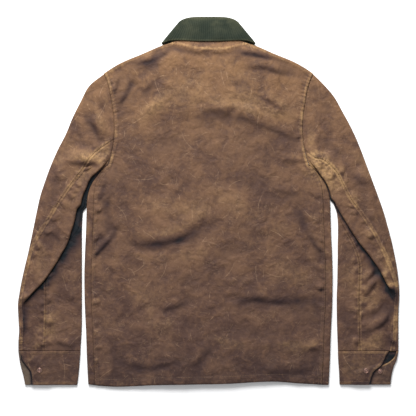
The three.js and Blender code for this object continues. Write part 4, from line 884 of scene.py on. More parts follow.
def make_back(name):
    """The back, with its folds and troughs and a low crown in its middle."""
    plan, fade = back_grid()
    x, y = plan[..., 0], plan[..., 1]
    relief = Relief(x, y)
    relief.folds(BACK_FOLDS, 1.1)
    relief.troughs(BACK_TROUGHS)
    relief.weave_slack(1.0, 11)
    quiet = smooth(fade * 3) * mix(1, 0.5, smooth((y - 324) / 10) * smooth((104 - np.abs(x)) / 12))
    relief.z = np.maximum(relief.z, -1.2) * quiet
    in_armpit = 8  # points of a side seam that get no folds of their own
    for side, pucker, pale, bone, seed in ((-1, 0.6, 0.6, 1.0, 0), (1, 0.65, 0.7, 1.1, 1)):
        arm, flank = arm_line(side), side_line(side)
        relief.seam(arm, side=-side, width=8, height=0.9, pucker=pucker, pale=pale, seed=21 + seed)
        relief.bones(flank[in_armpit:], 15, 15, 2.0, 220 + seed)
        relief.bones(arm, 13, 12, bone, 222 + seed)
        relief.seam(flank, side=-side, width=7.5, height=0.7, pucker=0.5, pitch=9, pale=0.12, seed=23 + seed)
        relief.seam(shoulder_line(side), side=side, width=8, height=0.6, pucker=0.25, pale=0.5,
                    seed=25 + side)
    relief.seam(PlanCurve(NECK_SEAM).even(3), width=5.5, height=1.0, pucker=0.08, pale=0.95, seed=28)
    hem = hem_line(262, 90)
    relief.seam(hem, side=1, width=15, height=0.55, pucker=0.3, pitch=11, pale=0.06, seed=31)
    # pale wear and painted highlights, then painted shade and darker patches
    relief.spots(PALE_WEAR_AND_HIGHLIGHTS, 1)
    relief.spots(SHADE_AND_DARK_PATCHES, -1)
    crown = (BODY_STEP + 0.5) * smooth((190 - np.abs(x)) / 145) + 1.8 * smooth((250 - np.abs(x)) / 110)
    z = back_level(x, y) + crown * fade + relief.z
    grid = np.dstack([x, y, z])
    free = np.zeros(x.shape)
    free[0] = 1
    return cloth_mesh(name, grid, BODY_WALL - 0.3, relief.tone, free=free), sheet_size(grid)


def make_front(name, side):
    """A front, flat on the surface, turned up round the side and wrapped onto the back."""
    flat, turn, wrap, lower, upper = 64, 9, 5, 100, 44
    fine, fine_share = 24, 0.31  # columns that stand closer, near the closing
    u = np.concatenate([np.linspace(0, fine_share, fine), np.linspace(fine_share, 1, flat - fine + 2)[1:]])
    closing = -side * FRONT_LAP
    hem = read(HEM, 1, mix(closing, side * HEM_CORNER, u))
    y = mix(hem[None], ARMPIT_Y, np.linspace(0, 1, lower + 1)[:, None])
    low = np.stack([mix(closing, side * side_fold(y), u[None]), y], axis=2)
    v = np.linspace(0, 1, upper + 1)[1:]
    share = 0.42  # where the neck ends and the shoulder begins
    neck = PlanCurve(sided(FRONT_NECK[::-1], side))
    shoulder = PlanCurve(sided(SHOULDER[::-1], side, SEWN_GAP))
    along_shoulder = shoulder.by_length((u - share) / (1 - share))
    top = np.where((u < share)[:, None], neck.by_length(u / share), along_shoulder)
    corner = side_fold(np.array(ARMPIT_Y))
    bottom = np.stack([mix(closing, side * corner, u), np.full_like(u, ARMPIT_Y)], axis=1)
    left = np.stack([np.full_like(v, closing), mix(ARMPIT_Y, FRONT_NECK[-1][1], v)], axis=1)
    high = patch(bottom, top, left, pinned_armhole(side, corner, v), u, v)
    plan = np.concatenate([low, high])
    x, y = plan[..., 0], plan[..., 1]
    z = front_height(x, y, side)
    if side > 0:
        z = z + 0.2 * waves(x, y, 40, 61) * smooth((250 - np.abs(x)) / 30)
    grid = np.dstack([x, y, z])
    edge, parts = grid[:, -1], [grid]
    for angle in np.pi * np.arange(1, turn + 1) / turn:
        point = edge.copy()
        point[:, 0] += side * BODY_STEP / 2 * math.sin(angle)
        point[:, 2] += BODY_STEP / 2 * (1 - math.cos(angle))
        parts.append(point[:, None])
    for k in range(1, wrap + 1):
        point = edge.copy()
        point[:, 0] -= side * wrap_width(edge[:, 1]) * k / wrap
        point[:, 2] += BODY_STEP
        parts.append(point[:, None])
    grid = np.concatenate(parts, axis=1)
    relief = Relief(grid[..., 0], grid[..., 1])
    relief.weave_slack(0.3, 71)
    relief.troughs(FRONT_TROUGHS)
    pressed_through = Relief(-relief.x, relief.y)  # mirrored, so that the two faces don't crease alike
    pressed_through.folds(BACK_FOLDS[NECK_FOLDS:])
    relief.z += 0.5 * pressed_through.z
    # with the folds' painted shade and highlights
    relief.tone += pressed_through.tone
    relief.seam(side_line(side), side=side, width=3, height=0.2, pucker=0.3, pitch=9, pale=0.14, seed=23)
    relief.spots(PALE_WEAR_AND_HIGHLIGHTS, 1)
    pressed = np.clip(-0.15 * relief.z, 0, 0.2) * smooth((248 - np.abs(relief.x)) / 30)
    shown = np.zeros(grid.shape[1])
    shown[flat + 1 + turn :] = 1
    shown[flat + 1 : flat + 1 + turn] = np.linspace(0, 1, turn)
    grid[..., 2] += np.clip(relief.z, -0.2, 0.8) * shown[None] + pressed * (1 - shown[None])
    cells = np.ones((lower + upper, grid.shape[1] - 1), bool)
    cells[lower:, flat:] = False
    free = np.zeros(grid.shape[:2])
    free[0] = 1
    free[:, 0] = 1
    piece = cloth_mesh(name, grid, BODY_WALL - 0.1, relief.tone, cells=cells, free=free)
    wide, _, low_area = sheet_size(grid[: lower + 1])
    _, long, _ = sheet_size(grid[:, : flat + 1])
    high_area = sheet_size(grid[lower:, : flat + 1])[2]
    return piece, (wide, long, low_area + high_area)


# The sleeves

SLEEVE_COUNTS = {"upper": 42, "turn": 8, "tuck": 10, "forearm": 22, "hidden": 16, "floor": 14, "rest": 24}
SHOWING = sum(SLEEVE_COUNTS[part] for part in ("upper", "turn", "tuck", "turn", "forearm"))
FOLD_EDGE = SLEEVE_COUNTS["upper"] + SLEEVE_COUNTS["turn"] // 2  # the column on the upper arm's folded edge


def stops(start, end, count, bend):
    """Steps from one distance to another, one of them moved to a place between them where the cloth bends."""
    if not start < bend < end:
        return np.linspace(start, end, count + 1)
    at = int(min(count - 1, max(1, round(count * (bend - start) / (end - start)))))
    return np.concatenate([np.linspace(start, bend, at + 1), np.linspace(bend, end, count - at + 1)[1:]])


def sleeve_section(row, side, share):
    """One section of a sleeve: its points all round, and how freely each of them may be raised."""
    n = SLEEVE_COUNTS
    outer_x, outer_y, inner_x, inner_y, lap, tuck, degrees, curve, seam = row
    radius = SLEEVE_STEP / 2
    edge = radius + SLEEVE_WALL / 2
    length = math.hypot(outer_x - inner_x, outer_y - inner_y)
    turn = math.radians(degrees)
    drop = 2 * radius * (1 - math.cos(turn)) + tuck * math.sin(turn)
    lap_at = length - lap - edge
    forearm_height = FOREARM_LEVEL + (BACK_LEVEL - FOREARM_LEVEL) * curve
    raised_at = max(edge + 4, lap_at - tuck - 7)
    rise_from = max(edge, raised_at - 26)
    end_fade = smooth(share / 0.05) * smooth((1 - share) / 0.05)
    prow = 2.6 * smooth((degrees - 90) / 90) * end_fade

    def upper_height(d):
        """The upper arm's height: it rises over the tuck beneath it and rolls at its folded edge."""
        roll = prow * np.exp(-(((d - lap_at) / 11) ** 2))
        return forearm_height + drop * smooth((d - rise_from) / (raised_at - rise_from)) + roll

    def loose(d):
        return smooth((d - edge) / 12) * smooth((length - d - edge) / 8) * end_fade

    seam_at = max(seam, edge + 1)
    distances, heights, frees = [], [], []

    def add(d, h, f):  # distances from the outer edge, heights, and how freely the points may be raised
        distances.append(np.atleast_1d(d))
        heights.append(np.atleast_1d(h) * np.ones(np.size(d)))
        frees.append(np.atleast_1d(f) * np.ones(np.size(d)))

    d = stops(seam_at, lap_at, n["upper"], raised_at)
    add(d, upper_height(d), loose(d))
    held = loose(lap_at)
    ease = 0.6 * (1 - degrees / 180)
    k = np.arange(1, n["turn"] + 1)
    angle = turn * k / n["turn"]
    left = 1 - smooth(k / n["turn"])
    height = forearm_height + drop - radius * (1 - np.cos(angle)) + prow * left
    add(lap_at + (radius + 0.5 * prow) * np.sin(angle) + ease * k, height, held * left)
    first_end = lap_at + (radius + 0.5 * prow) * math.sin(turn) + ease * n["turn"]
    first_height = forearm_height + drop - radius * (1 - math.cos(turn))
    reach = tuck * np.arange(1, n["tuck"] + 1) / n["tuck"]
    add(first_end + reach * math.cos(turn), first_height - reach * math.sin(turn), 0)
    second = first_end + tuck * math.cos(turn)
    angle = turn * (1 - k / n["turn"])
    at = second + radius * (math.sin(turn) - np.sin(angle)) + ease * k
    add(at, forearm_height + radius * (1 - np.cos(angle)), 0)
    forearm_start = second + radius * math.sin(turn) + ease * n["turn"]
    seam_place = length - edge - 2 - UNDERARM[side] * smooth((share - 0.45) / 0.25)
    under_seam = max(forearm_start + 1.5, seam_place)

    def forearm(d):
        covered = 1 - smooth((d - lap_at - edge - 1) / 5) if degrees > 90 else 0
        add(d, forearm_height, loose(d) * (1 - covered))

    forearm(mix(forearm_start, under_seam, np.arange(1, n["forearm"] + 1) / n["forearm"]))
    inner_at = length - edge
    forearm(stops(under_seam, inner_at, n["hidden"], lap_at + edge + 1)[1:])
    end_radius = (forearm_height - FLOOR_LEVEL) / 2
    angle = np.pi * k / n["turn"]
    add(inner_at + radius * np.sin(angle), FLOOR_LEVEL + end_radius * (1 + np.cos(angle)), 0)
    floor = mix(inner_at, edge, np.arange(1, n["floor"] + 1) / n["floor"])
    add(floor, FLOOR_LEVEL, 0)
    add(edge - radius * np.sin(angle), FLOOR_LEVEL + end_radius * (1 - np.cos(angle)), 0)
    d = stops(edge, seam_at, n["rest"], raised_at)[1:-1]
    add(d, upper_height(d), loose(d))

    d, h, f = (np.concatenate(part) for part in (distances, heights, frees))
    within = d / length
    x, y = mix(outer_x, inner_x, within), mix(outer_y, inner_y, within)
    if curve > 0:
        arm = PlanCurve(sided(ARMHOLE, side))
        start, end = arm.by_point(0)[0], arm.by_point(1)[0]
        inside = np.clip(within, 0, 1)
        bend = arm.by_point(inside) - mix(start[None], end[None], inside[:, None])
        x = x + bend[:, 0] * curve + side * SEWN_GAP * curve
        y = y + bend[:, 1] * curve
    return np.stack([x, y, h], axis=1), f


def sleeve_rings(side):
    """A sleeve's sections from the armhole to the cuff."""
    table = SLEEVES[side]
    key = np.arange(len(table), dtype=float)
    keyed = np.column_stack([key, table])
    close_until = -10 if side < 0 else 6  # the sleeve lies against the body from the armpit down to here
    rings, frees = [], []
    for place in np.linspace(0, key[-1], SLEEVE_SECTIONS):
        row = read_row(keyed, place)[1:]
        row[TUCK] = max(row[TUCK], LEAST_TUCK)
        row[TURN] = min(180.0, max(0.0, row[TURN]))
        row[CURVE] = min(1.0, max(0.0, row[CURVE]))
        y = row[INNER_Y]
        beside = side * (float(read(BODY_SIDE, 1, y)) + 0.1)
        close = smooth((ARMPIT_Y + 1.5 - y) / 6) * (1 - smooth((close_until - y) / 12))
        row[INNER_X] = float(mix(row[INNER_X], beside, close))
        ring, free = sleeve_section(row, side, place / key[-1])
        rings.append(ring)
        frees.append(free)
    return np.array(rings), np.array(frees)


def cuff_line(side, y=CUFF_SEAM_Y):
    """A line right across a cuff."""
    inner, outer = 262.0, 404.0
    return np.array([(side * inner, y), (side * outer, y)])


def make_sleeve(side, outer_name, inner_name):
    """A sleeve as one closed tube, cut along its elbow seam and its underarm seam into two sheets."""
    rings, loose = sleeve_rings(side)
    plan = rings[..., 0], rings[..., 1]
    relief, upper, lower, both = Relief(*plan), Relief(*plan), Relief(*plan), Relief(*plan)
    relief.folds(SLEEVE_FOLDS, 1.5)
    relief.troughs(SLEEVE_TROUGHS)
    relief.weave_slack(1.1, 41 + side)
    relief.z = np.maximum(relief.z, -0.8)
    elbow = rings[4:, 0, :2]
    under = rings[UNDERARM_SHOWS:, SHOWING, :2]
    count = rings.shape[1]
    column = np.arange(count)
    on_upper = (column <= FOLD_EDGE) | (column > count - SLEEVE_COUNTS["rest"])
    elbow_pale, elbow_pitch = (0.65, 12) if side < 0 else (0.75, 15)
    upper.seam(elbow, width=10, height=0.9, pucker=0.6, pale=elbow_pale, seed=51 + side)
    lower.seam(under, width=8, height=0.8, pucker=0.7, pitch=9, pale=0.45, seed=55 + side)
    armhole_seed = 21 if side < 0 else 22  # as on the back, so that the puckers run on across the seam
    upper.seam(arm_line(side), side=side, width=2.5, height=0.1, pucker=0.5, pale=0.2, seed=armhole_seed)
    both.seam(cuff_line(side), side=side, width=2.5, height=0.1, pucker=0.4, pitch=8, pale=0.2,
              seed=58 + side)
    # painted shade and darker patches
    both.spots(SHADE_AND_DARK_PATCHES, -1)
    # painted shadow on the forearm under the upper arm's folded edge
    lower.shadow(rings[6:-14, FOLD_EDGE, :2], SHADOWS[side])
    on_floor = (column > SHOWING + SLEEVE_COUNTS["hidden"] + SLEEVE_COUNTS["turn"] // 2) & ~on_upper
    lower.tone[:, on_floor] = 0
    both.tone[:, on_floor] = 0
    upper.bones(elbow, elbow_pitch, 17, 2.1, 200 + side)
    lower.bones(under[4:], 8, 14, 1.8, 210 + side, lean=0.1)
    seams = np.where(on_upper[None], upper.z, lower.z) + both.z
    relief.tone += np.where(on_upper[None], upper.tone, lower.tone) + both.tone
    relief.spots(PALE_WEAR_AND_HIGHLIGHTS, 1)
    grid = rings.copy()
    grid[..., 2] += (0.9 + relief.z + seams) * loose
    normals = grid_normals(grid, closed=True)

    def cut(start, end):
        """The tube from one column to another, drawn in a little at both seams."""
        pick = np.arange(start, end + 1) % count
        part = grid[:, pick].copy()
        for at, beside in ((0, 1), (-1, -2)):
            inward = part[:, beside] - part[:, at]
            part[:, at] += 1.2 * SEWN_GAP * inward / np.linalg.norm(inward, axis=1, keepdims=True)
        return part, normals[:, pick], relief.tone[:, pick]

    pieces = []
    for name, start, end in ((inner_name, 0, SHOWING), (outer_name, SHOWING, count)):
        part, directions, tone = cut(start, end)
        pieces.append((cloth_mesh(name, part, SLEEVE_WALL - 0.2, tone, normals=directions), sheet_size(part)))
    return pieces


# The collar and the cuffs

def neck_point(place):
    """A place on the neck's seam and the seam's way there: up to 1 on the back, past 1 on the front."""
    if place <= 1:
        curve, share = PlanCurve(sided(BACK_NECK, -1) + BACK_NECK[-2::-1]), 0.5 + place / 2
    else:
        curve, share = PlanCurve(FRONT_NECK), place - 1
    step = -0.01 if 0.99 <= place <= 1 else 0.01
    here, near = curve.by_length(share)[0], curve.by_length(share + step)[0]
    along = (near - here) * (1 if step > 0 else -1)
    return here, along / np.hypot(*along)


def collar_section(row, side):
    """One section of the collar: up the stand, round the fold and down the fall."""
    place, fold_x, fold_y, fold_z, edge_x, edge_y, edge_z, degrees = row
    stand, steps, fall = 9, 8, 22
    radius = (COLLAR_WALL + SEAM_GAP + 0.1) / 2
    neck, along = neck_point(place)
    roll = math.radians(degrees)
    clear = SEAM_GAP + (COLLAR_WALL / 2 + 0.7) * math.sin(roll)
    neck = neck + np.array([-along[1], along[0]]) * (-clear if place > 1 else clear)
    neck_z = mix(back_level(*neck), front_height(neck[0], neck[1], side), smooth((place - 0.92) / 0.16))
    neck = np.array([side * neck[0], neck[1], neck_z])
    top = np.array([side * fold_x, fold_y, fold_z])
    rise = np.array([top[0] - neck[0], top[1] - neck[1], 0])
    rise /= np.linalg.norm(rise)
    sideways = np.array([rise[1], -rise[0], 0]) * side
    outward = np.array([0, 0, math.cos(roll)]) + sideways * math.sin(roll)
    start = top - rise * radius
    edge = np.array([side * edge_x, edge_y, edge_z])
    path = [mix(neck, start, k / stand) for k in range(stand)]
    for k in range(steps + 1):
        angle = math.pi * k / steps
        path.append(start + rise * radius * math.sin(angle) + outward * radius * (1 - math.cos(angle)))
    fall_start = path[-1]
    for k in range(1, fall + 1):
        point = mix(fall_start, edge, k / fall)
        point[2] = mix(fall_start[2], edge[2], float(smooth(k / fall)))
        path.append(point)
    return np.array(path)


def make_collar(name):
    """The collar, with its sections closest where it rolls round the shoulder."""
    runs = (np.linspace(0, 0.86, 44), np.linspace(0.86, 1.16, 34)[1:], np.linspace(1.16, 1.86, 24)[1:])
    places = np.concatenate(runs)
    rows = [read_row(COLLAR, place) for place in places]
    right = [collar_section(row, 1) for row in rows]
    left = [collar_section(row, -1) for row in rows[1:]]
    grid = np.array(left[::-1] + right)
    x, y = grid[..., 0], grid[..., 1]
    fall = np.linspace(0, 1, grid.shape[1])[None]
    soft = smooth((fall - 0.45) / 0.15) * smooth((104 - np.abs(x)) / 20) * (y > 325)
    grid[..., 2] += (0.9 * waves(x, y, 26, 81) + 0.9) * soft * smooth((1.02 - fall) / 0.1)
    across = np.concatenate([[0], np.cumsum(np.linalg.norm(np.diff(grid[len(grid) // 2], axis=0), axis=1))])
    middle = grid[:, grid.shape[1] // 2 + 6]
    run = np.concatenate([[0], np.cumsum(np.linalg.norm(np.diff(middle, axis=0), axis=1))])
    plan = np.dstack(np.meshgrid(run, across, indexing="ij"))
    tone = 0.5 * np.exp(-(((y - 384) / 4) ** 2)) * (grid[..., 2] > 4) + 0.15 * waves(x, y, 22, 83)
    tone = tone + 0.55 * smooth((fall - 0.95) / 0.05)
    free = np.zeros(x.shape)
    free[:, -1] = 1
    free[0] = 1
    free[-1] = 1
    return cloth_mesh(name, grid, COLLAR_WALL - 0.1, tone, free=free, plan=plan), sheet_size(grid)


CUFF_COUNTS = {"lap": 42, "turn": 8, "floor": 16, "tongue": 14}


def cuff_section(row, side):
    """One section of a cuff: its lap, round the inner edge, back along the floor and up to the tongue."""
    y, outer, inner, opening, tongue = row
    n = CUFF_COUNTS
    edge = CUFF_STEP / 2 + CUFF_WALL / 2
    width = outer - inner
    down = tongue + 5
    crossed = smooth((tongue - opening + 9) / 6)

    def lap_height(d):
        """The lap's height: it climbs over the tongue where the two cross."""
        flat = CUFF_FLOOR + CUFF_STEP + 0.4
        return flat + crossed * (CUFF_STEP + 0.1) * (1 - smooth((d - down) / 18))

    d = stops(opening, width - edge, n["lap"], down)
    parts = [(d, lap_height(d))]
    radius = (parts[0][1][-1] - CUFF_FLOOR) / 2
    angle = np.pi * np.arange(1, n["turn"] + 1) / n["turn"]
    parts.append((width - edge + radius * np.sin(angle), CUFF_FLOOR + radius * (1 + np.cos(angle))))
    floor = mix(width - edge, edge, np.arange(1, n["floor"] + 1) / n["floor"])
    parts.append((floor, np.full_like(floor, CUFF_FLOOR)))
    parts.append((edge - CUFF_STEP / 2 * np.sin(angle), CUFF_FLOOR + CUFF_STEP / 2 * (1 - np.cos(angle))))
    reach = mix(edge, max(tongue, edge + 0.5), np.arange(1, n["tongue"] + 1) / n["tongue"])
    parts.append((reach, np.full_like(reach, CUFF_FLOOR + CUFF_STEP)))
    d, h = (np.concatenate(part) for part in zip(*parts))
    return np.stack([side * (outer - d), np.full_like(d, y), h], axis=1)


def make_cuff(name, side):
    """A cuff, with painted shadow along its lap's edge and on its tongue beneath, and painted shade, partly
    its dark lining, inside where the lap opens over the tongue.
    """
    table = CUFFS[side]
    ys = np.linspace(table[0, 0], table[-1, 0], 34)
    grid = np.array([cuff_section(read_row(table, y), side) for y in ys])
    x, y = grid[..., 0], grid[..., 1]
    columns = np.arange(grid.shape[1])
    lap_end, tongue_end = CUFF_COUNTS["lap"], grid.shape[1] - 1
    on_lap = (columns <= lap_end)[None]
    relief = Relief(x, y)
    relief.weave_slack(0.5, 91 + side)
    relief.folds(SLEEVE_FOLDS, 0.6)
    # the seam's pale wear, the hidden face's tone, which is painted shade partly for its dark lining, and the
    # width of the painted shadow along the lap's edge
    seam_pale, lining_and_shade, lap_shadow_width = (0.12, -0.9, 2.8) if side < 0 else (0.4, -1.5, 1.7)
    relief.seam(cuff_line(side, CUFF_SEAM_Y + 0.2), side=-side, width=5, height=0.4, pucker=0.3, pitch=8,
                pale=seam_pale, seed=58 + side)
    low = float(table[-1, 0])
    relief.seam(cuff_line(side, low), side=side, width=7, height=0.35, pucker=0.2, pitch=9, pale=0.25,
                seed=62 + side)
    relief.seam(grid[:, 0, :2], side=-side, width=7, height=0.3, pucker=0.15, pale=0.3, seed=65)
    relief.spots(PALE_WEAR_AND_HIGHLIGHTS, 1)
    lift = smooth(columns / 3)[None] * smooth((lap_end - columns) / 6)[None] * on_lap
    grid[..., 2] += np.clip(relief.z, -0.1, 2.0) * lift
    tongue = (columns > tongue_end - CUFF_COUNTS["tongue"] - 1)[None] * np.ones_like(x)
    inside = lining_and_shade + 0.5 * waves(x, y, 5, 95)
    edge_x = np.interp(y[:, 0], table[::-1, 0], (table[:, 1] - table[:, 3])[::-1])[:, None]
    beyond = side * x - edge_x  # how far outside the lap's edge a place lies
    # painted shadow along the lap's edge, and on the tongue beneath it
    line = np.exp(-((beyond / lap_shadow_width) ** 2)) * smooth((-318 - y) / 8)
    under = tongue * np.exp(-((beyond / 3.2) ** 2)) * smooth((-324 - y) / 8)
    tone = relief.tone - 2.1 * line * on_lap - 1.7 * under
    if side > 0:
        # painted shade along the right cuff's hem, and a painted highlight on its tongue's tip
        hem_shade = np.exp(-(((y - low - 3) / 2.4) ** 2)) * smooth((366 - x) / 14) * smooth((x - 296) / 20)
        tip_highlight = np.exp(-(((columns - tongue_end + 1.5) / 1.6) ** 2))[None]
        tip_highlight = tip_highlight * smooth((-324 - y) / 4) * smooth((y + 354) / 5)
        tone = tone + 1.3 * tip_highlight - 1.3 * hem_shade * on_lap
    grey = tongue * (0.8 if side < 0 else 0.1)
    free = np.zeros(x.shape)
    free[-1] = 1
    free[:, 0] = 1
    free[:, -1] = 1
    if side < 0:  # so that the left cuff's face looks outwards too
        grid, tone, inside, grey, free = (part[:, ::-1] for part in (grid, tone, inside, grey, free))
    piece = cloth_mesh(name, grid, CUFF_WALL - 0.1, tone, free=free, inside=inside, grey=grey)
    return piece, sheet_size(grid)


# Snaps and stitches, modelled by hand

def clear_selection():
    if bpy.context.object is not None and bpy.context.object.mode != "OBJECT":
        bpy.ops.object.mode_set(mode="OBJECT")
    bpy.ops.object.select_all(action="DESELECT")


def edit_faces(piece, axis, way):
    """Go into edit mode on a piece with only the faces selected that look one way along an axis."""
    bpy.context.view_layer.objects.active = piece
    bpy.ops.object.mode_set(mode="OBJECT")
    for vertex in piece.data.vertices:
        vertex.select = False
    for edge in piece.data.edges:
        edge.select = False
    for polygon in piece.data.polygons:
        polygon.select = polygon.normal[axis] * way > 0.9
    bpy.ops.object.mode_set(mode="EDIT")
    bpy.ops.mesh.select_mode(type="FACE")


def finish_metal(piece, bevel):
    """Round a part's edges, and put its place into its mesh."""
    bpy.ops.object.mode_set(mode="OBJECT")
    edge = piece.modifiers.new("edge", "BEVEL")
    edge.width = bevel
    edge.segments = 3
    edge.limit_method = "ANGLE"
    edge.angle_limit = math.radians(35)
    bpy.ops.object.modifier_apply(modifier=edge.name)
    bpy.ops.object.transform_apply(location=True, rotation=True, scale=True)
    bpy.ops.object.shade_smooth_by_angle(angle=math.radians(40))


def make_snap(name, kind, centre, low):
    """One metal part of a snap, worked out of a disc by setting the middle of a face in, step by step."""
    radius, height, bevel, way, steps = SNAPS[kind]
    clear_selection()
    bpy.ops.mesh.primitive_cylinder_add(
        vertices=bpy.context.scene.jacket_sizes.snap_sides, radius=radius * MM, depth=height * MM,
        location=(centre[0] * MM, centre[1] * MM, (low + height / 2) * MM))
    piece = bpy.context.object
    piece.name = name
    edit_faces(piece, Z_AXIS, way)
    for inset, raised in steps:
        bpy.ops.mesh.inset(thickness=inset * MM, depth=raised * MM)
    finish_metal(piece, bevel * MM)
    return piece


def stitch_form():
    """One stitch as points and faces in millimetres: thread that dips into the cloth at both ends."""
    clear_selection()
    lying = (0, math.pi / 2, 0)
    bpy.ops.mesh.primitive_cylinder_add(vertices=6, radius=0.27 * MM, depth=1.5 * MM, rotation=lying)
    piece = bpy.context.object
    bpy.ops.object.transform_apply(location=True, rotation=True, scale=True)
    for way in (1, -1):
        edit_faces(piece, X_AXIS, way)
        bpy.ops.mesh.extrude_region_move(TRANSFORM_OT_translate={"value": (way * 0.45 * MM, 0, -0.22 * MM)})
        bpy.ops.transform.resize(value=(0.5, 0.5, 0.5))
    bpy.ops.object.mode_set(mode="OBJECT")
    points = np.array([tuple(v.co) for v in piece.data.vertices]) / MM
    faces = [list(p.vertices) for p in piece.data.polygons]
    bpy.data.objects.remove(piece)
    return points, faces


def cloth_tree(names):
    """The upper faces of finished sheets, to set stitches down on."""
    points, faces = [], []
    for name in names:
        mesh = bpy.data.objects[name].data
        start = len(points)
        points.extend(tuple(v.co) for v in mesh.vertices)
        faces.extend([start + i for i in p.vertices] for p in mesh.polygons if p.normal.z > 0.15)
    return BVHTree.FromPolygons(points, faces)


def offset_line(line, away):
    """A line of points moved sideways, to its left for a positive distance."""
    line = np.asarray(line, float)
    way = np.gradient(line, axis=0)
    way /= np.linalg.norm(way, axis=1, keepdims=True)
    return line + away * np.stack([-way[:, 1], way[:, 0]], axis=1)


STITCH_RISE = 0.1  # how far a stitch's middle stands off the cloth
SEAM_ROWS = (1.6, 7.0)  # how far the two rows of a felled seam lie from it
SHOULDER_ROW = 5.5
HEM_ROW = 14.5


def make_stitches(name, lines, cloths, pitch):
    """Rows of stitches along lines in plan, each set down on the cloth beneath it."""
    form, form_faces = stitch_form()
    tree = cloth_tree(cloths)
    points, faces = [], []
    for line in lines:
        curve = PlanCurve(line[:: max(1, len(line) // 60)])
        places = curve.even(pitch)
        for here, after in zip(places[:-1], places[1:]):
            centre = (here + after) / 2 + FRAME_SHIFT[:2]
            above = Vector((centre[0] * MM, centre[1] * MM, 0.05))
            spot, normal, _, _ = tree.ray_cast(above, Vector((0, 0, -1)))
            if spot is None:
                continue
            along = Vector((after[0] - here[0], after[1] - here[1], 0)).normalized()
            along = (along - normal * along.dot(normal)).normalized()
            across = normal.cross(along)
            basis = np.array([along, across, normal])
            start = len(points)
            points.extend(np.array(spot) + (form @ basis + STITCH_RISE * np.array(normal)) * MM)
            faces.extend([start + i for i in face] for face in form_faces)
    mesh = bpy.data.meshes.new(name)
    mesh.from_pydata([tuple(p) for p in points], [], faces)
    mesh.polygons.foreach_set("use_smooth", np.ones(len(mesh.polygons), bool))
    return piece_of(mesh)


# Finishes

class Reading:
    """A node's output that can be used in sums."""

    def __init__(self, finish, socket):
        self.finish, self.socket = finish, socket

    def math(self, operation, *others):
        node = self.finish.node("ShaderNodeMath", {"operation": operation}, dict(enumerate((self, *others))))
        return Reading(self.finish, node.outputs[0])

    def __add__(self, other):
        return self.math("ADD", other)

    __radd__ = __add__

    def __mul__(self, other):
        return self.math("MULTIPLY", other)

    __rmul__ = __mul__

    def __sub__(self, other):
        return self.math("SUBTRACT", other)

    def __rsub__(self, other):
        return (self * -1) + other

    def __pow__(self, other):
        return self.math("POWER", other)

    def least(self, other):
        return self.math("MINIMUM", other)

    def most(self, other):
        return self.math("MAXIMUM", other)

    def size(self):
        return self.math("ABSOLUTE")

    def step(self, low, high):
        """0 below low and 1 above high, with a soft step between them."""
        ends = {"Value": self, "From Min": low, "From Max": high}
        node = self.finish.node("ShaderNodeMapRange", {"interpolation_type": "SMOOTHSTEP"}, ends)
        return Reading(self.finish, node.outputs[0])


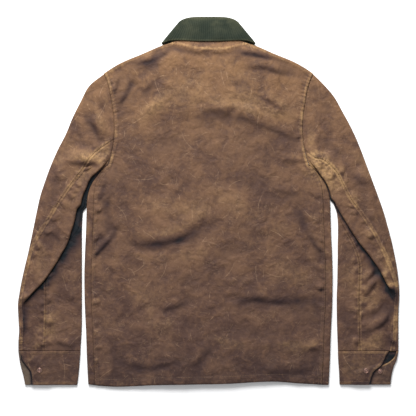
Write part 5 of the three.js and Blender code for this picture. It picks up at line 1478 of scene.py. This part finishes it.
class Finish:
    """A material whose nodes are made one at a time."""

    def __init__(self, name):
        self.material = bpy.data.materials.new(name)
        self.material.use_nodes = True
        self.nodes, self.links = self.material.node_tree.nodes, self.material.node_tree.links
        self.surface = self.nodes["Principled BSDF"]

    def node(self, kind, settings=None, inputs=None):
        node = self.nodes.new(kind)
        for key, value in (settings or {}).items():
            setattr(node, key, value)
        for key, value in (inputs or {}).items():
            self.feed(node.inputs[key], value)
        return node

    def feed(self, socket, value):
        if isinstance(value, Reading):
            self.links.new(value.socket, socket)
        elif isinstance(value, bpy.types.NodeSocket):
            self.links.new(value, socket)
        elif isinstance(value, Color):
            socket.default_value = (*value, 1.0)
        else:
            socket.default_value = value

    def place(self, stretch=(1, 1, 1), turn=0.0):
        """The place on the jacket, in metres, stretched and turned in plan."""
        where = self.node("ShaderNodeTexCoord").outputs["Object"]
        inputs = {"Vector": where, "Scale": stretch, "Rotation": (0, 0, turn)}
        return self.node("ShaderNodeMapping", {}, inputs).outputs[0]

    def up(self):
        """How far up the jacket a place lies, in metres."""
        return Reading(self, self.node("ShaderNodeSeparateXYZ", {}, {"Vector": self.place()}).outputs[1])

    def cloud(self, scale, detail=3.0, place=None, roughness=0.55, bend=0.0):
        inputs = {"Vector": place or self.place(), "Scale": scale, "Detail": detail, "Roughness": roughness,
                  "Distortion": bend}
        return Reading(self, self.node("ShaderNodeTexNoise", {}, inputs).outputs[0])

    def written(self, name):
        return Reading(self, self.node("ShaderNodeAttribute", {"attribute_name": name}).outputs["Fac"])

    def colours(self, factor, first, second):
        return self.node("ShaderNodeMix", {"data_type": "RGBA"}, {0: factor, 6: first, 7: second}).outputs[2]

    def bands(self, way, scale, distortion, detail_scale, where):
        """Even waves across one way of the place, a little uneven, for threads and ribs."""
        settings = {"wave_type": "BANDS", "bands_direction": way}
        inputs = {"Vector": where, "Scale": scale, "Distortion": distortion, "Detail": 1.0,
                  "Detail Scale": detail_scale}
        return Reading(self, self.node("ShaderNodeTexWave", settings, inputs).outputs[1])

    def cracks(self, scale, width):
        """A web of fine cracks, 1 on them and 0 between them."""
        inputs = {"Vector": self.place(), "Scale": 60.0, "Detail": 3.0}
        wander = self.node("ShaderNodeTexNoise", {}, inputs).outputs[1]
        warped = self.node("ShaderNodeMix", {"data_type": "VECTOR"}, {0: 0.05, 4: self.place(), 5: wander})
        inputs = {"Vector": warped.outputs[1], "Scale": scale}
        cells = self.node("ShaderNodeTexVoronoi", {"feature": "DISTANCE_TO_EDGE"}, inputs)
        return 1 - Reading(self, cells.outputs["Distance"]).step(0.0, width)

    def bump(self, height, strength, distance, normal=None):
        inputs = {"Height": height, "Strength": strength, "Distance": distance}
        if normal is not None:
            inputs["Normal"] = normal
        return self.node("ShaderNodeBump", {}, inputs).outputs[0]

    def scratches(self, scale, length, width, share, turn=0.0):
        """Short scratches, at most one in each cell of a scattered pattern, turned and bent at random."""
        where = self.place((scale, scale, 0), turn)
        inputs = {"Vector": where, "Scale": 1.0}
        cell = self.node("ShaderNodeTexVoronoi", {"voronoi_dimensions": "2D"}, inputs)
        inputs = {0: where, 1: cell.outputs["Position"]}
        offset = self.node("ShaderNodeVectorMath", {"operation": "SUBTRACT"}, inputs)
        chances = self.node("ShaderNodeSeparateColor", {}, {0: cell.outputs["Color"]}).outputs
        angle = Reading(self, chances[0]) * math.pi
        inputs = {"Vector": offset.outputs[0], "Angle": angle}
        turned = self.node("ShaderNodeVectorRotate", {"rotation_type": "Z_AXIS"}, inputs).outputs[0]
        parts = self.node("ShaderNodeSeparateXYZ", {}, {"Vector": turned}).outputs
        along, across = Reading(self, parts[0]), Reading(self, parts[1])
        bend = along * along * ((Reading(self, chances[2]) - 0.5) * 1.5)
        line = 1 - (across - bend).size().step(0.0, width)
        ends = 1 - along.size().step(0.5 * length, length)
        return line * ends * Reading(self, chances[1]).step(1 - share, 1.02 - share)

    def give(self, **inputs):
        for name, value in inputs.items():
            self.feed(self.surface.inputs[name.replace("_", " ")], value)
        return self.material


def waxed_cotton(name, colours):
    """Clouded brown cloth, scratched and cracked pale and rubbed tan on its seams, with painted shade in its
    creases and towards its hem, painted shadow under folded edges and painted highlights on fold crests.
    """
    f = Finish(name)
    depth = bpy.context.scene.jacket_sizes.weave_depth
    clouds = f.cloud(14, 3, roughness=0.5, bend=0.3)
    patches = f.cloud(44, 4, roughness=0.5, bend=0.4)
    mottle = f.cloud(150, 4, roughness=0.62)
    grain = f.cloud(560, 3, roughness=0.7)
    specks = f.cloud(800, 1)
    long, short = f.scratches(15, 0.34, 0.011, 0.5), f.scratches(34, 0.32, 0.021, 0.5, 0.7)
    tiny = f.scratches(86, 0.3, 0.042, 0.42, 1.9) * 0.8
    scratched = (long + short + tiny).least(1) * (0.3 + mottle.step(0.35, 0.6) * 0.7)
    web = f.cracks(90.0, 0.05) * f.cloud(26, 3).step(0.52, 0.66)
    tone = f.written("tone")
    pale, dark = tone.most(0), (tone * -1).most(0)
    up = f.up()
    # painted shade: low grows towards the hem and the cuffs, and there mixes the cloth and its paler patches
    # towards darker copies and fades its scratches, for the light falling off down the jacket
    low = (1 - up.step(0.04, 0.36)) * 0.58 + (1 - up.step(-0.42, -0.02)) * 0.42

    base = f.colours(low, colours.cloth_upper, colours.cloth_lower_shaded)
    worn = f.colours(low, colours.cloth_worn, colours.cloth_worn_low_shaded)
    fine = (grain - 0.5) * 0.9 + (mottle - 0.5) * 1.0
    marks = (scratched * 0.75 + web * 0.28 + specks.step(0.68, 0.75) * 0.3).least(1) * (1 - low * 0.35)
    # the pale tone: wax rubbed pale on seams and edges, and painted highlights on fold crests, ridges and the
    # elbow's tuck
    rubbed = (pale * (0.5 + mottle.step(0.36, 0.6) * 0.7 + (grain - 0.5) * 0.9)).most(0).least(1)
    # the dark tone: painted shade in folds, troughs and puckers, painted shadow under folded edges and in the
    # cuffs, and darker patches
    shaded = (dark * (0.95 + (patches - 0.5) * 0.6)).most(0)
    for amount, colour in (
        # painted shade: darker still at the hem and the cuffs
        ((1 - up.step(-0.41, -0.25)) * 0.8, colours.cloth_hem_shaded),
        (clouds.step(0.42, 0.66) * 0.5, colours.cloth_dark),
        ((1 - clouds.step(0.34, 0.56)) * 0.42, worn),
        (patches.step(0.46, 0.7) * 0.5 + mottle.step(0.5, 0.72) * 0.32, worn),
        ((1 - patches.step(0.3, 0.54)) * 0.52, colours.cloth_dark),
        ((fine + 0.02).most(0).least(0.5), worn),
        ((fine * -1.1).most(0).least(0.45), colours.cloth_dark),
        (marks * (1 - dark).most(0), colours.cloth_scratch),
        (rubbed, colours.cloth_tan),
        (f.written("grey") * (0.75 + (grain - 0.5) * 1.6), colours.cloth_grey),
        # painted shade, and beyond it near-black painted shadow
        ((shaded * 0.85).least(0.9), colours.cloth_crease_shade),
        (((shaded - 1.0) * 1.9).most(0).least(1), colours.cloth_shadow),
    ):
        base = f.colours(amount, base, colour)

    weft, warp = (f.bands(way, 360.0, 0.6, 2.0, f.place(turn=0.03)) for way in ("X", "Y"))
    cloth = f.bump(weft + warp + grain * 1.4, 0.3 * depth, 0.0005)
    small = f.bump(mottle * 0.7 + web * -0.3 + scratched * 0.15, 0.4 * depth, 0.002, cloth)
    creased = f.bump(patches * 0.8 + f.cloud(30, 2, bend=0.6), 0.5 * depth, 0.008, small)
    return f.give(
        Base_Color=base,
        Roughness=(0.66 + (patches - 0.5) * 0.3 + pale * 0.12).least(0.92),
        Normal=creased,
        Sheen_Weight=0.02,
        Sheen_Roughness=0.5,
        Sheen_Tint=(0.9, 0.75, 0.6, 1.0),
        Specular_IOR_Level=0.16,
    )


def corduroy(name, colours):
    """Fine-wale corduroy: ribs across the collar, matt, with the pile rubbed paler along its folded edges."""
    f = Finish(name)
    where = f.node("ShaderNodeUVMap", {"uv_map": "plan"}).outputs[0]
    wale = f.bands("X", 78.0, 0.5, 1.5, where)
    pile = f.cloud(520, 3, roughness=0.7)
    worn = f.cloud(38, 4)
    tone = f.written("tone")
    colour = f.colours(wale * 0.34 + 0.14 + (pile - 0.5) * 0.6, colours.pile_deep, colours.pile_top)
    high = f.up().step(0.335, 0.39)
    colour = f.colours(worn.step(0.4, 0.7) * (0.08 + high * 0.3), colour, colours.pile_worn)
    colour = f.colours((1 - high) * 0.35, colour, colours.pile_deep)
    colour = f.colours((tone.most(0) * (0.5 + worn)).least(1) * 0.75, colour, colours.pile_worn)
    fur = f.bump(pile, 0.35, 0.0006)
    ribs = f.bump(wale, 0.5, 0.001, fur)
    soft = f.bump(f.cloud(70, 3), 0.5, 0.003, ribs)
    return f.give(Base_Color=colour, Roughness=0.86 + (pile - 0.5) * 0.1, Normal=soft, Sheen_Weight=0.06,
                  Sheen_Roughness=0.45, Sheen_Tint=(0.6, 0.66, 0.5, 1.0), Specular_IOR_Level=0.15)


def copper(name, colours):
    """Copper plate, worn darker in its hollows and scratched on its rims."""
    f = Finish(name)
    stain = f.cloud(260, 4, roughness=0.65)
    fine = f.cloud(1, 4, f.place((1500, 5200, 1500)))
    colour = f.colours(stain.step(0.46, 0.66) * 0.75, colours.metal, colours.metal_stain)
    return f.give(Base_Color=colour, Metallic=1.0 - stain.step(0.55, 0.75) * 0.35,
                  Roughness=(0.28 + stain * 0.25 + (fine - 0.5) * 0.2).least(0.8),
                  Normal=f.bump(fine + stain * 1.5, 0.25, 0.0002))


def thread(name, colours):
    """Waxed cotton thread, dark where wax and grime sit in its twist."""
    f = Finish(name)
    twist = f.cloud(1, 3, f.place((1800, 1800, 900), 0.6))
    patch = f.cloud(60, 3)
    colour = f.colours(twist.step(0.35, 0.65), colours.cloth_dark, colours.thread)
    colour = f.colours(patch.step(0.4, 0.6) * 0.5, colour, colours.cloth_tan)
    return f.give(Base_Color=colour, Roughness=0.7 + (twist - 0.5) * 0.2, Normal=f.bump(twist, 0.5, 0.0002))


def floor_paper(name, colours):
    f = Finish(name)
    grain = f.cloud(35, 4)
    colour = f.colours(grain * 0.04, colours.floor, (0.8, 0.8, 0.8, 1.0))
    return f.give(Base_Color=colour, Roughness=0.92, Normal=f.bump(grain, 0.04, 0.001),
                  Emission_Color=(1.0, 1.0, 1.0, 1.0), Emission_Strength=0.03, Specular_IOR_Level=0.1)


# Settings, operators and the panel

class JacketSizes(bpy.types.PropertyGroup):
    stitch_pitch: FloatProperty(
        name="Stitch Pitch", description="Distance from one stitch to the next, in metres", default=0.0034,
        min=0.002, max=0.006, subtype="DISTANCE", unit="LENGTH")
    weave_depth: FloatProperty(
        name="Weave Depth", description="How strongly the cloth's weave and creases show", default=1.0,
        min=0.0, max=2.0, subtype="FACTOR")
    camera_height: FloatProperty(
        name="Camera Height", description="Height of the camera over the surface", default=2.427,
        min=1.0, max=6.0, subtype="DISTANCE", unit="LENGTH")
    light_power: FloatProperty(
        name="Light Power", description="Power of the large soft light above the collar", default=104.0,
        min=0.0, max=400.0, unit="POWER")
    sky_strength: FloatProperty(
        name="Sky Strength", description="Strength of the even light from all round", default=0.47,
        min=0.0, max=3.0)
    floor_size: FloatProperty(
        name="Floor Size", description="Side of the pale floor", default=6.0,
        min=2.0, max=20.0, subtype="DISTANCE", unit="LENGTH")
    snap_sides: IntProperty(
        name="Snap Sides", description="Sides of a snap's round outline", default=40, min=16, max=96)


def colour_of(name, description, *default):
    return FloatVectorProperty(name=name, description=description, default=default, min=0.0, max=1.0, size=3,
                               subtype="COLOR")


class JacketColours(bpy.types.PropertyGroup):
    cloth_upper: colour_of("Cloth near Collar", "Waxed cotton near the collar", 0.164, 0.086, 0.041)
    # painted shade: the colours near the hem and at the hem are darker copies of the cloth's colour near the
    # collar, for the light falling off down the jacket
    cloth_lower_shaded: colour_of("Cloth near Hem", "Waxed cotton near the hem", 0.080, 0.043, 0.034)
    cloth_hem_shaded: colour_of("Cloth at Hem", "Waxed cotton at the hem and cuffs", 0.027, 0.017, 0.017)
    cloth_dark: colour_of("Cloth Dark", "Darker clouds of the waxed cotton", 0.054, 0.028, 0.023)
    cloth_worn: colour_of("Cloth Worn", "Slightly paler patches", 0.206, 0.110, 0.053)
    # painted shade: a darker copy of the paler patches, near the hem
    cloth_worn_low_shaded: colour_of("Cloth Worn Low", "Slightly paler patches near the hem", 0.134, 0.072, 0.045)
    cloth_crease_shade: colour_of("Creases", "Waxed cotton in creases and soft shade", 0.030, 0.017, 0.018)
    cloth_scratch: colour_of("Scratches", "Pale scratches and cracks in the wax", 0.40, 0.26, 0.16)
    cloth_tan: colour_of("Rubbed Tan", "Cloth rubbed bare of wax on seams and edges", 0.33, 0.198, 0.092)
    cloth_grey: colour_of("Tongue Grey", "Greyer cloth of the left cuff's tongue", 0.120, 0.098, 0.072)
    # painted shadow: near black, under folded edges and in the cuffs' openings
    cloth_shadow: colour_of("Crease Dark", "Wax and grime deep in creases", 0.006, 0.009, 0.012)
    pile_top: colour_of("Corduroy Ribs", "Tops of the corduroy's ribs", 0.036, 0.046, 0.030)
    pile_deep: colour_of("Corduroy Grooves", "Between the corduroy's ribs", 0.011, 0.016, 0.011)
    pile_worn: colour_of("Corduroy Rubbed", "Pile rubbed paler on folded edges", 0.105, 0.104, 0.058)
    metal: colour_of("Snap Metal", "Copper plate of the snaps", 0.36, 0.225, 0.185)
    metal_stain: colour_of("Snap Stain", "Stains on the snaps", 0.20, 0.11, 0.08)
    thread: colour_of("Thread", "Stitching thread", 0.16, 0.10, 0.06)
    floor: colour_of("Floor", "The pale floor", 0.94, 0.94, 0.94)


def finishes():
    """The jacket's materials by name, made the first time they are asked for."""
    made = {}
    for maker in (waxed_cotton, corduroy, copper, thread, floor_paper):
        name = maker.__name__ + "_finish"
        made[maker.__name__] = bpy.data.materials.get(name) or maker(name, bpy.context.scene.jacket_colours)
    return made


def settle(piece, finish, node=None):
    """Give a piece its finish, hide the solid it stands for, and let it ride on the jacket's one body."""
    piece.data.materials.clear()
    piece.data.materials.append(finishes()[finish])
    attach(piece, "root")
    if node:
        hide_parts(node)
    return piece


def settle_cloth(made, node, finish="waxed_cotton"):
    """Settle a sheet. Its size when flat is worked out but not used."""
    piece, (wide, long, area) = made
    settle(piece, finish, node)
    flat = (round(wide + 0.0005, 3), round(long + 0.0005, 3))


class MakeFronts(bpy.types.Operator):
    """Make both fronts, which lie on the surface and come round the sides"""

    bl_idname = "jacket.make_fronts"
    bl_label = "Make Fronts"

    def execute(self, context):
        settle_cloth(make_front("left_front_cloth", -1), "left_front")
        settle_cloth(make_front("right_front_cloth", 1), "right_front")
        return {"FINISHED"}


class MakeBack(bpy.types.Operator):
    """Make the back, which lies on the fronts"""

    bl_idname = "jacket.make_back"
    bl_label = "Make Back"

    def execute(self, context):
        settle_cloth(make_back("back_cloth"), "back")
        return {"FINISHED"}


class MakeSleeves(bpy.types.Operator):
    """Make both sleeves, each folded down over a deep tuck at the elbow"""

    bl_idname = "jacket.make_sleeves"
    bl_label = "Make Sleeves"

    def execute(self, context):
        for side, word in SIDES:
            top, under = f"{word}_top_sleeve", f"{word}_under_sleeve"
            under_made, top_made = make_sleeve(side, top + "_cloth", under + "_cloth")
            settle_cloth(top_made, top)
            settle_cloth(under_made, under)
        return {"FINISHED"}


class MakeCollar(bpy.types.Operator):
    """Make the corduroy collar, its fall turned down all round the neck"""

    bl_idname = "jacket.make_collar"
    bl_label = "Make Collar"

    def execute(self, context):
        settle_cloth(make_collar("collar_cloth"), "collar", "corduroy")
        return {"FINISHED"}


class MakeCuffs(bpy.types.Operator):
    """Make both cuffs, each with its lap over its tongue"""

    bl_idname = "jacket.make_cuffs"
    bl_label = "Make Cuffs"

    def execute(self, context):
        for side, word in SIDES:
            settle_cloth(make_cuff(word + "_cuff_cloth", side), word + "_cuff")
        return {"FINISHED"}


class MakeSnaps(bpy.types.Operator):
    """Make the snaps of the cuffs and the front"""

    bl_idname = "jacket.make_snaps"
    bl_label = "Make Snaps"

    def execute(self, context):
        kinds = {"left_cuff_ring": "ring", "right_cuff_ring": "ring", "right_cuff_stud": "stud"}
        kinds.update({f"front_cap_{number}": "cap" for number in range(1, 6)})
        for node, kind in kinds.items():
            low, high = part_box(node)
            centre = [(a + b) / 2 / MM for a, b in zip(low, high)]
            level = CAP_LEVEL if kind == "cap" else low[2] / MM
            settle(make_snap(node + "_metal", kind, centre, level), "copper", node)
        return {"FINISHED"}


class SewSeams(bpy.types.Operator):
    """Sew the rows of stitches beside the seams, the hem and the cuffs' edges"""

    bl_idname = "jacket.sew_seams"
    bl_label = "Sew Seams"

    def execute(self, context):
        def sew(name, lines, cloths):
            pitch = context.scene.jacket_sizes.stitch_pitch / MM
            settle(make_stitches(name + "_stitches", lines, cloths, pitch), "thread")

        armholes, sides = [], []
        for side in (-1, 1):
            for away in SEAM_ROWS:
                armholes.append(offset_line(arm_line(side, 4), -side * away))
                sides.append(offset_line(side_line(side), -side * away))
            armholes.append(offset_line(shoulder_line(side), side * SHOULDER_ROW))
        sew("armhole", armholes, ["back_cloth"])
        sew("side", sides, ["back_cloth"])
        sew("hem", [hem_line(236, 80) + (0, HEM_ROW)], ["back_cloth"])
        for side, word in SIDES:
            rings, _ = sleeve_rings(side)
            elbow, under = rings[6:-2, 0, :2], rings[UNDERARM_SHOWS + 2 : -2, SHOWING, :2]
            lines = [offset_line(elbow, away) for away in (-3.4, 3.4)]
            lines += [offset_line(under, away) for away in (-3.2, 3.2)]
            sew(f"{word}_sleeve", lines, [f"{word}_top_sleeve_cloth", f"{word}_under_sleeve_cloth"])
            table = CUFFS[side]
            low, lap_ends = table[-1, 0], 368.0 if side < 0 else 338.0
            ys = np.linspace(-317, low + 4, 24)
            lap = np.stack([side * (read(table, 1, ys) - read(table, 3, ys) - 2.6), ys], axis=1)
            hem = np.array([(side * x, low + 6) for x in (276.0, 330.0, lap_ends)])
            seam = np.array([(side * x, CUFF_SEAM_Y - 4.5) for x in (274.0, 330.0, 374.0)])
            sew(f"{word}_cuff", [lap, hem, seam], [f"{word}_cuff_cloth"])
        return {"FINISHED"}


class SetStage(bpy.types.Operator):
    """Lay the pale floor and set up the soft light and the camera above"""

    bl_idname = "jacket.set_stage"
    bl_label = "Set Stage"

    def execute(self, context):
        scene, sizes = context.scene, context.scene.jacket_sizes
        clear_selection()
        bpy.ops.mesh.primitive_plane_add(size=sizes.floor_size, location=(0, 0, -FLOOR_DROP))
        floor = context.object
        floor.name = "floor"
        bpy.ops.object.transform_apply(location=True, rotation=True, scale=True)
        floor.data.materials.append(finishes()["floor_paper"])

        light = bpy.data.lights.new("soft_light", "AREA")
        light.shape = "DISK"
        light.size = LAMP_SIZE
        light.energy = sizes.light_power
        lamp = bpy.data.objects.new("soft_light", light)
        lamp.location = LAMP_PLACE
        aim = Vector(LAMP_AIM) - lamp.location
        lamp.rotation_euler = aim.to_track_quat("-Z", "Y").to_euler()
        scene.collection.objects.link(lamp)

        sky = bpy.data.worlds.new("even_light")
        sky.use_nodes = True
        glow = sky.node_tree.nodes["Background"].inputs
        glow["Color"].default_value = SKY_COLOUR
        glow["Strength"].default_value = sizes.sky_strength
        scene.world = sky
        scene.view_settings.view_transform = "Standard"

        lens = bpy.data.cameras.new("camera_above")
        lens.lens = LENS
        lens.sensor_width = SENSOR
        lens.clip_end = 20
        camera = bpy.data.objects.new("camera_above", lens)
        camera.location = (*(PHOTO_CENTRE + FRAME_SHIFT[:2]) * MM, sizes.camera_height)
        scene.collection.objects.link(camera)
        scene.camera = camera
        return {"FINISHED"}


OPERATORS = (MakeFronts, MakeBack, MakeSleeves, MakeCollar, MakeCuffs, MakeSnaps, SewSeams, SetStage)


class JacketPanel(bpy.types.Panel):
    """The steps and settings of the jacket"""

    bl_idname = "VIEW3D_PT_jacket"
    bl_label = "Waxed Cotton Jacket"
    bl_space_type = "VIEW_3D"
    bl_region_type = "UI"
    bl_category = "Jacket"

    def draw(self, context):
        for operator in OPERATORS:
            self.layout.operator(operator.bl_idname)
        for group in (context.scene.jacket_sizes, context.scene.jacket_colours):
            box = self.layout.box()
            for name in group.bl_rna.properties.keys():
                if name not in {"rna_type", "name"}:
                    box.prop(group, name)


CLASSES = (JacketSizes, JacketColours, *OPERATORS, JacketPanel)


def register():
    for cls in CLASSES:
        bpy.utils.register_class(cls)
    bpy.types.Scene.jacket_sizes = PointerProperty(type=JacketSizes)
    bpy.types.Scene.jacket_colours = PointerProperty(type=JacketColours)


def unregister():
    del bpy.types.Scene.jacket_colours
    del bpy.types.Scene.jacket_sizes
    for cls in reversed(CLASSES):
        bpy.utils.unregister_class(cls)


def main():
    register()
    bpy.ops.jacket.make_fronts()
    bpy.ops.jacket.make_back()
    bpy.ops.jacket.make_sleeves()
    bpy.ops.jacket.make_collar()
    bpy.ops.jacket.make_cuffs()
    bpy.ops.jacket.make_snaps()
    bpy.ops.jacket.sew_seams()
    bpy.ops.jacket.set_stage()


if __name__ == "__main__":
    main()
